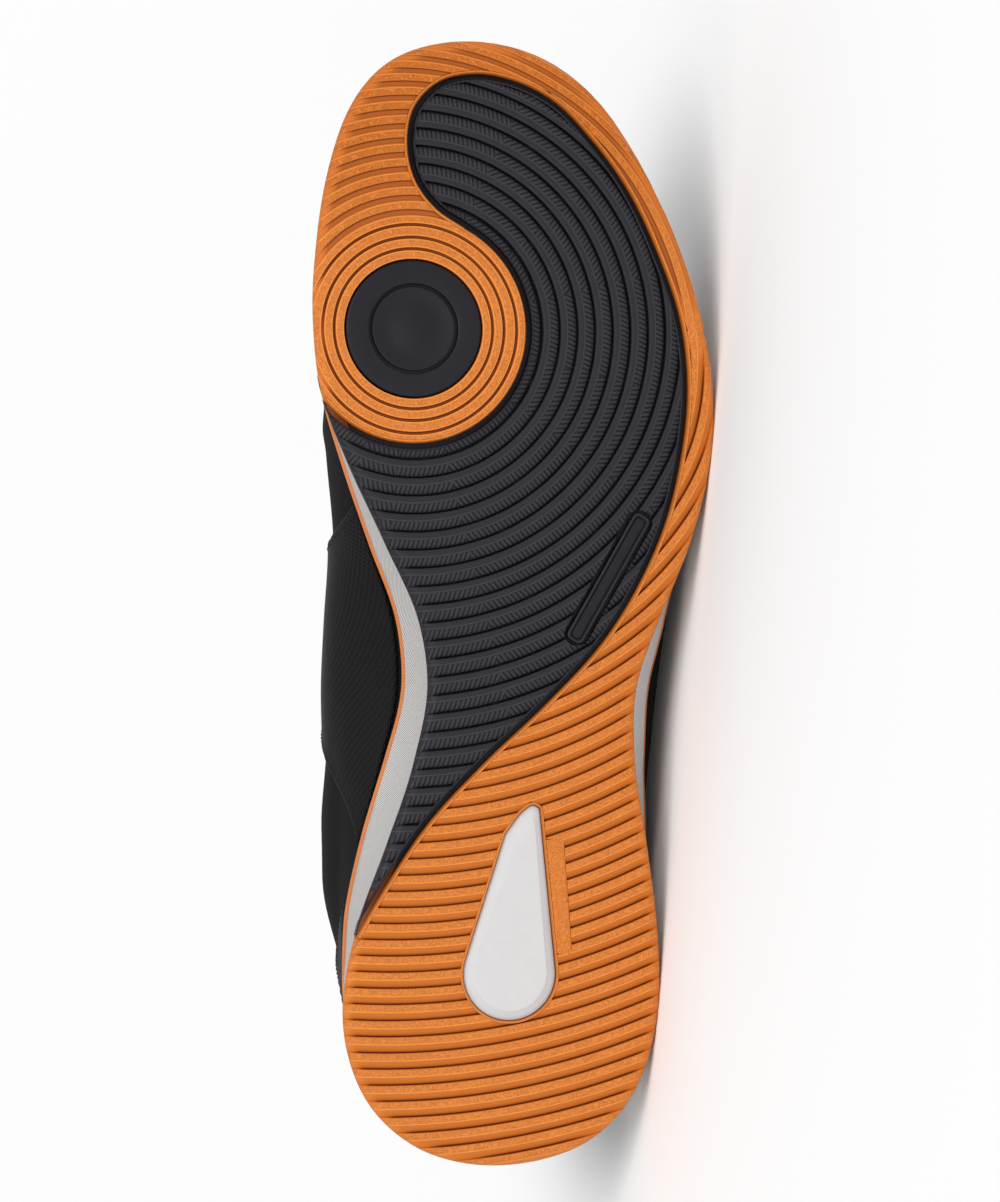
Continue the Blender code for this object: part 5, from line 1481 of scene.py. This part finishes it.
def surface(x, side, height):
    """Points of the upper's outer face at stations x, on side 1 lateral or -1 medial.

    Height is 0 at the feather line over the midsole, 1 on the widest line and 2 at the top."""
    x, side, height = together(x, side, height)
    shape = x.shape
    x, side, height = x.ravel(), side.ravel(), height.ravel()
    turn = turn_of(GIRTHS, x)
    turn = np.where(side > 0, turn, 2 * math.pi - turn)
    feather = sole_offset(turn, 1.0, -FEATHER_INSET)
    foot = ring_at(feather, midsole_top(feather[:, 0]) + CLEAR + LINE_THICK + CLEAR)
    wide = ring_at(outline(GIRTHS, turn), girth("wide_z", x))
    across = girth("top_y", x) + side * np.maximum(girth("half", x), 0)
    top = np.column_stack([girth("top_x", x), across, girth("top_z", x)])
    crown = girth("crown", x)[:, None]

    def pull(weights):
        return weights.vamp * crown + weights.collar * (1 - crown)

    rise = (wide - foot) * [0, 0, 1]
    climb = (top - wide) * [0, 0, 1]
    spread_out = (wide - top) * [1, 1, 0]
    bulge = foot + FEATHER_SPREAD * (wide - foot) * [1, 1, 0] + FEATHER_RISE * rise
    low = (foot, bulge, wide - UNDER_WIDEST * rise, wide)
    shoulder = top + pull(TOP_SPREAD) * spread_out - pull(TOP_DROP) * climb
    high = (wide, wide + pull(OVER_WIDEST) * climb, shoulder, top)
    points = np.where((height <= 1)[:, None], bezier(low, height), bezier(high, height - 1))
    return points.reshape(shape + (3,))


def normal_at(x, side, height):
    """Outward unit normals of the upper's outer face."""
    x, side, height = together(x, side, height)

    def near(ahead, rise):
        at = np.clip(x + ahead, GIRTHS[-1].x, GIRTHS[0].x)
        return surface(at, side, np.clip(height + rise, 0, 2))

    along = near(NORMAL_STEP, 0) - near(-NORMAL_STEP, 0)
    up = near(0, NORMAL_RISE) - near(0, -NORMAL_RISE)
    return unit(np.cross(along, up) * -side[..., None])


def upper_stations():
    """Stations of the upper's sheet: even in turn round toe and heel, closer at the front of the throat."""
    at_toe, at_turn, at_throat, at_heel = UPPER_STEPS
    front = station(GIRTHS, np.linspace(0, turn_of(GIRTHS, THROAT_X), at_toe))
    back = station(GIRTHS, np.linspace(turn_of(GIRTHS, THROAT_TOP_X), math.pi, at_heel))
    turn_in = np.linspace(THROAT_X, THROAT_TURN_X, at_turn)[1:-1]
    throat = np.linspace(THROAT_TURN_X, THROAT_TOP_X, at_throat)
    return np.concatenate([front, turn_in, throat, back[1:]])


# Creases of the upper: where they run (x at the feather and at the top, heights), how deep and how wide
Crease = namedtuple("Crease", "side x_low x_high low high depth width")
CREASES = [
    Crease(1, 219.0, 206.0, 0.5, 2.0, 0.55, 3.2), Crease(1, 226.0, 214.0, 0.6, 2.0, -0.4, 3.0),
    Crease(1, 212.0, 199.0, 0.7, 1.9, -0.35, 3.0), Crease(-1, 219.0, 206.0, 0.5, 2.0, 0.6, 3.2),
    Crease(-1, 226.0, 214.0, 0.5, 2.0, -0.4, 3.0), Crease(-1, 211.0, 199.0, 0.5, 1.9, -0.45, 3.2),
    Crease(-1, 203.0, 193.0, 0.4, 1.5, 0.5, 3.0), Crease(-1, 196.0, 186.0, 0.4, 1.4, -0.35, 3.0),
    Crease(1, 104.0, 92.0, 1.2, 1.9, 0.5, 5.0), Crease(-1, 104.0, 92.0, 1.2, 1.9, 0.5, 5.0)]


def creased(x, side, height):
    """How far the creases sink the outer face at points of the upper."""
    sink = np.zeros(np.shape(x))
    for crease in CREASES:
        middle = crease.x_low + (crease.x_high - crease.x_low) * height / 2
        away = (x - middle) / crease.width
        span = ease((height - crease.low) / CREASE_START)
        if crease.high < 2:
            span = span * ease((crease.high - height) / CREASE_STOP)
        sink += np.where(np.asarray(side) == crease.side, crease.depth * np.exp(-away * away) * span, 0)
    return sink


def padded_by(x, height):
    """How far the padding of the collar swells the outer face, between the side panels and the heel."""
    place = ease((COLLAR_PUFF_FRONT - x) / COLLAR_PUFF_RAMP)
    place = place * ease((x - COLLAR_PUFF_REAR) / COLLAR_PUFF_RAMP)
    rise = np.clip((height - COLLAR_PUFF_LOW) / (2 - COLLAR_PUFF_LOW), 0, 1)
    return COLLAR_PUFF * place * np.sin(rise * math.pi)


def skin(x, side, height, lift=0.0):
    """Points of the upper's outer face with its padding and creases, raised by some lift."""
    out = padded_by(x, height) - creased(x, side, height) + lift
    return surface(x, side, height) + normal_at(x, side, height) * out[..., None]


def thicken(bm, walls):
    """Gives a sheet its thickness inwards, by the depth that each of its points carries."""
    away = bm.verts.layers.float_vector.new("away")
    bm.normal_update()
    for vert in bm.verts:
        vert[away] = vert.normal
    made = bmesh.ops.extrude_face_region(bm, geom=bm.faces[:], use_keep_orig=True)["geom"]
    inner = {item for item in made if isinstance(item, bmesh.types.BMVert)}
    for vert in inner:
        vert.co -= vert[away] * vert[walls]
    for face in bm.faces:
        face.material_index = 1 if any(vert in inner for vert in face.verts) else 0
    bmesh.ops.recalc_face_normals(bm, faces=bm.faces)
    bm.verts.layers.float_vector.remove(away)


def soften_rim(bm, width, segments):
    """Rounds the edges between the two faces of a wall and its rim."""
    bm.normal_update()
    edges = [edge for edge in bm.edges if edge.is_manifold and edge.calc_face_angle(0) > RIM_ANGLE]
    bmesh.ops.bevel(
        bm, geom=edges, offset=width, segments=segments, profile=0.5, affect="EDGES", material=-1)


def upper(cloth, lining):
    """Hollow upper: one wall of cloth and lining, padded at the collar."""
    bm = new_mesh()
    walls = bm.verts.layers.float.new("walls")
    stations = upper_stations()
    low, high = UPPER_ROWS
    heights = np.concatenate([np.linspace(0, 1, low)[:-1], np.linspace(1, 2, high)])
    x, height = np.meshgrid(stations, heights)
    behind = np.clip((COLLAR_PAD_FRONT - x) / COLLAR_PAD_RAMP, 0, 1)
    collar = ease(behind * np.clip((height - COLLAR_PAD_LOW) / COLLAR_PAD_RISE, 0, 1))
    for side in (1, -1):
        points = skin(x, side, height)
        along = lengths(points, 1)[UPPER_FLAT_ROW] + 0 * x
        flat = np.stack([along, lengths(points, 0), collar], axis=-1)
        made = sheet(bm, points, flat, flip=side < 0)
        for vert, depth in zip(made, (WALL + COLLAR_PAD * collar + padded_by(x, height)).ravel()):
            vert[walls] = depth
    weld(bm, 0.02)
    thicken(bm, walls)
    soften_rim(bm, RIM_ROUND, 2)
    return piece(bm, "upper_cloth", [cloth, lining], ["upper"], 60)


# Rounded edge of a panel: distance in from it, and share of the panel's full lift
EDGE_LIFTS = ((0.0, 0.0), (0.08, 0.5), (0.35, 0.82), (0.8, 0.96), (1.5, 1.0))


def edge_shares(length, count):
    """Shares across a panel and the lift at each, with rounded edges of real size at both ends."""
    ends = [(away / length, lift) for away, lift in EDGE_LIFTS]
    middle = np.linspace(ends[-1][0], 1 - ends[-1][0], count)[1:-1]
    shares = [share for share, _ in ends] + list(middle) + [1 - share for share, _ in ends[::-1]]
    lifts = [lift for _, lift in ends] + [1.0] * len(middle) + [lift for _, lift in ends[::-1]]
    return np.array(shares), np.array(lifts)


def laid_on(x, side, height, lift):
    """Points of a panel laid on the upper, and their flat places."""
    points = skin(x, side, height, OVERLAY_OUT * lift)
    flat = np.stack([lengths(points, 1)[len(points) // 2] + 0 * x, lengths(points, 0), lift], axis=-1)
    return points, flat


def panel_grid(low, high, long, tall):
    """Shares along a panel, the heights of its rows and the lift of each point, rounded at its edges."""
    share, lift_along = edge_shares(*long)
    rows, lift_up = edge_shares(*tall)
    return share, (low + (high - low) * rows)[:, None], np.minimum(lift_up[:, None], lift_along)


def saddle_edges(height):
    """Stations of a side panel's slanted front edge and of its rear edge, which leans the other way."""
    return SADDLE_FRONT[0] + SADDLE_FRONT[1] * height, SADDLE_REAR[0] + SADDLE_REAR[1] * height


def saddle(name, node, side, material):
    """Side panel from its front edge to its rear edge."""
    bm = new_mesh()
    share, height, lift = panel_grid(SADDLE_LOW, SADDLE_HIGH, SADDLE_LONG, SADDLE_TALL)
    front, rear = saddle_edges(height)
    x = front * (1 - share) + rear * share
    points, flat = laid_on(x, side, np.broadcast_to(height, x.shape), lift)
    sheet(bm, points, flat, flip=side < 0)
    return piece(bm, name, [material], [node], 60)


def counter_edge(height):
    """Stations of the heel panel's front edge."""
    return COUNTER_FRONT[0] + COUNTER_FRONT[1] * height


def heel_counter(material):
    """Smooth panel round the heel."""
    bm = new_mesh()
    share, height, lift = panel_grid(COUNTER_LOW, COUNTER_HIGH, COUNTER_LONG, COUNTER_TALL)
    reach = 2 * share - 1
    front = turn_of(GIRTHS, counter_edge(height))
    x = station(GIRTHS, math.pi - abs(reach) * (math.pi - front))
    side = np.broadcast_to(np.where(reach < 0, 1, -1), x.shape)
    points, flat = laid_on(x, side, np.broadcast_to(height, x.shape), lift)
    sheet(bm, points, flat)
    return piece(bm, "heel_counter_panel", [material], ["heel_counter"], 60)


def instep(x, across):
    """Points over the instep: across is over 1 on the lateral facing and under -1 on the medial one.

    Between them they lie over the open throat, on a curve that carries both facings on."""
    x, across = together(x, across)
    ends = [surface(x, side, 2.0) for side in (1, -1)]
    leads = [unit(end - surface(x, side, 2.0 - LEAD_STEP)) for end, side in zip(ends, (1, -1))]
    third = np.linalg.norm(ends[0] - ends[1], axis=-1, keepdims=True) / 3
    controls = (ends[0], ends[0] + leads[0] * third, ends[1] + leads[1] * third, ends[1])
    between = bezier(controls, (1 - across) / 2)
    facing = surface(x, np.where(across < 0, -1, 1), 2 - ACROSS_STEP * np.maximum(abs(across) - 1, 0))
    return np.where((abs(across) >= 1)[..., None], facing, between)


def instep_normal(x, across):
    """Outward unit normals of the instep."""
    ahead, beside = INSTEP_STEPS
    along = instep(x + ahead, across) - instep(x - ahead, across)
    over = instep(x, across + beside) - instep(x, across - beside)
    return unit(np.cross(along, over))


def eyelets():
    """Stations of the eyelet rows, from the front of the throat up."""
    return np.linspace(EYELET_FIRST, EYELET_LAST, EYELET_ROWS)


def eyestay_width(x):
    """Width of the lace facing in heights of the upper, which rounds off in front of the throat."""
    ahead = np.clip((x - THROAT_X) / (EYESTAY_FRONT - THROAT_X), 0, 1)
    return EYESTAY_DEPTH * (EYESTAY_FRONT_SHARE + (1 - EYESTAY_FRONT_SHARE) * np.sqrt(1 - ahead ** 2))


def eyestay(material):
    """Lace facing round the throat, one piece that passes over the vamp in front of it."""
    bm = new_mesh()
    at_front, at_turn, at_throat = EYESTAY_STEPS
    crowded = np.linspace(0, 1, at_front)[:-1] ** EYESTAY_CROWD
    front = EYESTAY_FRONT - (EYESTAY_FRONT - THROAT_X) * crowded
    turn_in = np.linspace(THROAT_X, THROAT_TURN_X, at_turn)[:-1]
    stations = np.concatenate([front, turn_in, np.linspace(THROAT_TURN_X, EYESTAY_REAR, at_throat)])
    rows, lift_up = edge_shares(*EYESTAY_TALL)
    ends = np.minimum(abs(stations - stations[0]), abs(stations - stations[-1]))
    lift_along = np.interp(ends, *EYESTAY_END_LIFT)
    x, row = np.meshgrid(stations, rows)
    height = 2 - eyestay_width(stations) * (1 - row)
    over_vamp = (x >= THROAT_X) & (row > 0.5)
    lift = np.where(over_vamp, lift_along, np.minimum(lift_up[:, None], lift_along))
    for side in (1, -1):
        points, flat = laid_on(x, side, height, lift)
        sheet(bm, points, flat, flip=side < 0)
    weld(bm, 0.03)
    return piece(bm, "eyestay_panel", [material], ["eyestay"], 60)


def tongue(cloth):
    """Padded tongue: follows the inside of both facings, bridges the throat and stands free above it."""
    bm = new_mesh()
    long, wide = TONGUE_STEPS
    share = np.sin(np.linspace(math.pi / 2, -math.pi / 2, wide))
    x, across = np.meshgrid(np.linspace(TONGUE_FRONT, TONGUE_REAR, long), TONGUE_HALF * share, indexing="ij")
    under = instep(x, across) - instep_normal(x, across) * (WALL + TONGUE_GAP)
    root = under[-1]
    middle = root[wide // 2]
    reaches = [0.0] + [reach for reach, _ in TONGUE_FREE]
    widths = [1.0] + [width for _, width in TONGUE_FREE]
    free = []
    for reach in reaches[-1] * np.sin(np.linspace(0, math.pi / 2, TONGUE_FREE_STEPS))[1:]:
        width = smooth(reaches, widths, reach)
        free.append(middle + (root - middle) * [1, width, width] + reach * TONGUE_LEAN)
    points = np.concatenate([under, np.array(free)])
    normals = unit(np.cross(np.gradient(points, axis=0), np.gradient(points, axis=1)))
    if normals[TONGUE_LEVEL_ROW, wide // 2, 2] < 0:
        normals = -normals
    left = np.linspace(1, 0, len(points))[:, None]
    tip = np.sqrt(np.clip(left * len(points) / TONGUE_TIP_ROWS, 0, 1))
    pad = TONGUE_THICK * (np.sqrt(1 - abs(share) ** TONGUE_EDGE_POWER) * tip)[..., None]
    outer = points - normals * (TONGUE_THICK - pad) / 2
    inner = points - normals * (TONGUE_THICK + pad) / 2
    ring = np.concatenate([outer, inner[:, ::-1]], axis=1)
    sheet(bm, ring, np.stack([lengths(ring, 0), lengths(ring, 1), 0 * ring[..., 0]], axis=-1))
    weld(bm, 0.02)
    bmesh.ops.recalc_face_normals(bm, faces=bm.faces)
    obj = piece(bm, "tongue_pad", [cloth], ["tongue"], 60)
    return obj


def lace_run(bm, start, end, lift):
    """One run of flat lace that comes up out of an eyelet, crosses the throat and goes down into another."""
    t = np.linspace(0, 1, LACE_STEPS)
    x = start[0] * (1 - t) + end[0] * t
    across = start[1] * (1 - t) + end[1] * t
    normal = instep_normal(x, across)
    near_end = np.minimum(t, 1 - t)
    rest = OVERLAY_OUT + LACE_THICK / 2 + LACE_REST
    dive = ease(near_end / LACE_DIVE)
    arch = lift * (LACE_END_LIFT + np.sin(math.pi * t))
    height = -LACE_SINK + (rest + LACE_SINK) * dive + arch * dive
    path = instep(x, across) + normal * height[:, None]
    lead = np.gradient(path, axis=0)
    wide = unit(np.cross(lead, normal))
    up = unit(np.cross(wide, lead))
    opened = ease(near_end / LACE_NARROW)
    half = LACE_WIDTH / 2 * (LACE_END_WIDTH + (1 - LACE_END_WIDTH) * opened)
    thick = LACE_THICK / 2 * (LACE_END_THICK + (1 - LACE_END_THICK) * opened)
    cosine, sine = bearing(even_turns(LACE_SIDES)).T
    beside = half[:, None] * np.sign(cosine) * abs(cosine) ** LACE_SQUARE[0]
    above = thick[:, None] * np.sign(sine) * abs(sine) ** LACE_SQUARE[1]
    points = closed(path[:, None] + wide[:, None] * beside[..., None] + up[:, None] * above[..., None])
    along = np.broadcast_to(lengths(points, 0)[:, :1], points.shape[:2])
    sheet(bm, points, np.stack([along, lengths(points, 1), 0 * along], axis=-1), flip=True)


def lace(material):
    """The lace: a bar at the bottom and crossings up to the top eyelets, each run through its eyelets."""
    bm = new_mesh()
    rows = eyelets()
    lace_run(bm, (rows[0], EYELET_ACROSS), (rows[0], -EYELET_ACROSS), 0.0)
    for low, high in zip(rows, rows[1:]):
        for across, lift in zip((EYELET_ACROSS, -EYELET_ACROSS), LACE_LIFTS):
            lace_run(bm, (low, across), (high, -across), lift)
    weld(bm, 0.005)
    bmesh.ops.recalc_face_normals(bm, faces=bm.faces)
    return piece(bm, "lace_run", [material], ["lace"], 70)


# Stitches and eyelets


def seam(bm, x, side, height):
    """Row of stitches along a line on top of a panel of the upper."""
    x, side, height = together(x, side, height)
    points = skin(x, side, height, OVERLAY_OUT)
    normals = normal_at(x, side, height)
    along = np.gradient(points, axis=0)
    run = lengths(points, 0)
    for at in np.arange(STITCH_PITCH / 2, run[-1], STITCH_PITCH):
        k = int(np.argmin(abs(run - at)))
        lead = Vector(along[k]).normalized()
        across = Vector(normals[k]).cross(lead).normalized()
        turn = Matrix((lead, across, lead.cross(across))).transposed() @ Matrix.Diagonal(STITCH_SIZE)
        place = Matrix.Translation(Vector(points[k])) @ turn.to_4x4()
        bmesh.ops.create_uvsphere(bm, u_segments=8, v_segments=6, radius=1.0, matrix=place)


def stitches(material):
    """Thread that holds the panels on the upper, in rows along their edges."""
    bm = new_mesh()
    fine = np.linspace(0, 1, STITCH_SAMPLES)
    for side in (1, -1):
        height = SADDLE_LOW + (SADDLE_HIGH - SADDLE_LOW) * np.linspace(*SADDLE_SEAM, STITCH_SAMPLES)
        front, rear = saddle_edges(height)
        front, rear = front - SEAM_INSET, rear + SEAM_INSET
        seam(bm, front, side, height)
        seam(bm, rear, side, height)
        seam(bm, front[-1] + (rear[-1] - front[-1]) * fine, side, height[-1])
        rise = np.linspace(*COUNTER_SEAM, STITCH_SAMPLES)
        height = COUNTER_LOW + (COUNTER_HIGH - COUNTER_LOW) * rise
        edge = counter_edge(height) - SEAM_INSET
        seam(bm, edge, side, height)
        turn = turn_of(GIRTHS, edge[-1]) * (1 - fine) + math.pi * fine
        seam(bm, station(GIRTHS, turn), side, height[-1])
        x = np.linspace(*EYESTAY_SEAM, STITCH_SAMPLES)
        seam(bm, x, side, 2 - eyestay_width(x) * EYESTAY_SEAM_SHARE)
    return piece(bm, "seam_stitches", [material])


def eyelet_rings(ring_material, hole_material):
    """Rounded ring and dark mouth of each eyelet."""
    bm = new_mesh()
    round_off = Matrix.Translation((EYELET_RING, 0, 0)) @ Matrix.Rotation(math.pi / 2, 4, "X")
    for x in eyelets():
        for across in (EYELET_ACROSS, -EYELET_ACROSS):
            at = np.array([x]), np.array([across])
            up = Vector(instep_normal(*at)[0])
            centre = Vector(instep(*at)[0]) + up * (OVERLAY_OUT + EYELET_PROUD)
            place = Matrix.Translation(centre) @ up.to_track_quat("Z", "X").to_matrix().to_4x4()
            made = bmesh.ops.create_circle(
                bm, segments=EYELET_RING_SIDES, radius=EYELET_RING_HALF,
                matrix=place @ round_off)["verts"]
            edges = list({edge for vert in made for edge in vert.link_edges})
            bmesh.ops.spin(bm, geom=made + edges, cent=centre, axis=up, angle=2 * math.pi,
                           steps=EYELET_SIDES, use_merge=True)
            mouth = bmesh.ops.create_circle(
                bm, cap_ends=True, segments=EYELET_SIDES, radius=EYELET_RING, matrix=place)["verts"]
            for face in faces_of(mouth):
                face.material_index = 1
    weld(bm, 0.001)
    bmesh.ops.recalc_face_normals(bm, faces=bm.faces)
    return piece(bm, "eyelet_rings", [ring_material, hole_material], (), 60)


# Stage

PHOTO_HEIGHT_MM = 310.4
PHOTO_CENTRE = (146.2, -3.9, 0.0)
CAMERA_TILT = math.radians(10.0)
CAMERA_DISTANCE = 1.6
SENSOR = 36.0
CAMERA_CLIP = 0.05
FLOOR_HALF = 4.0
FLOOR_STEPS = 8
SURROUND = 0.71
Lamp = namedtuple("Lamp", "name towards angle power")
LAMPS = [Lamp("key", (0.22, -0.75, -0.8), 36, 1.6), Lamp("fill", (-0.3, -0.08, -1.0), 20, 0.45)]


def direction(vector):
    """A direction of the shoe's frame in the world."""
    return (PLACE.to_3x3() @ Vector(vector)).normalized()


def camera():
    """Looks at the sole from a little to its inner side, with the toe up in the picture."""
    target = PLACE @ Vector(PHOTO_CENTRE)
    back = direction((0, -math.sin(CAMERA_TILT), -math.cos(CAMERA_TILT)))
    toe = direction((1, 0, 0))
    right = toe.cross(back).normalized()
    up = back.cross(right)
    data = bpy.data.cameras.new("camera")
    data.sensor_width = SENSOR
    data.lens = SENSOR * CAMERA_DISTANCE / (PHOTO_HEIGHT_MM * MM)
    data.clip_start = CAMERA_CLIP
    obj = in_scene("camera", data)
    turn = Matrix((right, up, back)).transposed().to_4x4()
    obj.matrix_world = Matrix.Translation(target + back * CAMERA_DISTANCE) @ turn
    bpy.context.scene.camera = obj


def light(name, towards, angle, power):
    """A wide, even light from one side of the shoe."""
    data = bpy.data.lights.new(name, "SUN")
    data.angle = math.radians(angle)
    data.energy = power
    obj = in_scene(name, data)
    obj.matrix_world = direction(towards).to_track_quat("Z", "Y").to_matrix().to_4x4()


def studio():
    """Pale floor, soft lights and a white surround."""
    bm = bmesh.new()
    bmesh.ops.create_grid(bm, x_segments=FLOOR_STEPS, y_segments=FLOOR_STEPS, size=FLOOR_HALF)
    mesh = bpy.data.meshes.new("floor")
    bm.to_mesh(mesh)
    bm.free()
    material, tree, shader = finish_of("pale_floor", 0.9)
    grain = put(tree, "ShaderNodeTexNoise", {"Scale": 6.0, "Detail": 4.0}).outputs["Fac"]
    paint(tree, shader, blend(tree, grain, *FLOOR_WHITE))
    mesh.materials.append(material)
    in_scene("floor", mesh)
    for lamp in LAMPS:
        light(*lamp)
    world = bpy.data.worlds.new("surround")
    world.use_nodes = True
    background = world.node_tree.nodes["Background"]
    background.inputs["Color"].default_value = (1, 1, 1, 1)
    background.inputs["Strength"].default_value = SURROUND
    bpy.context.scene.world = world
    bpy.context.scene.view_settings.view_transform = "Standard"


def main():
    outsole(orange_rubber())
    tread_panel(dark_rubber("panel_rubber", PANEL_BLACK))
    pivot_disc(dark_rubber("disc_rubber", DISC_BLACK))
    heel_insert(moulded("white_insert", INSERT_WHITE, 3.0, 0.03, 0.5))
    midsole(white_foam())
    midsole_rim(moulded("orange_line", LINE_ORANGE, 2.0, 0.05, 0.6))
    lining = woven("lining_cloth", BLACK, CLOTH_TOP, 0.9, 0.9, 0.2, 0.5)
    upper(ribbed_cloth(), lining)
    side_panel = embossed("embossed_panel", EMBOSSED_TOP, 0.8, 0.26, 0.5, 1.3)
    for name, side in (("saddle_lateral", 1), ("saddle_medial", -1)):
        saddle(name + "_panel", name, side, side_panel)
    heel_counter(embossed("counter_panel", SMOOTH_TOP, 1.2, 0.05, 0.5))
    eyestay(embossed("facing_panel", SMOOTH_TOP, 0.8, 0.06))
    tongue(woven("tongue_cloth", BLACK, CLOTH_TOP, 0.7, 0.7, 0.3, 0.3))
    insole(lining)
    lace_cloth = woven("lace_cloth", BLACK, LACE_TOP, 0.9, 1.6, 0.2, 0.1)
    lace(lace_cloth)
    stitches(woven("seam_thread", *THREAD, 1.2, 1.2, 0.05))
    eyelet_rings(lace_cloth, lining)
    studio()
    camera()


main()
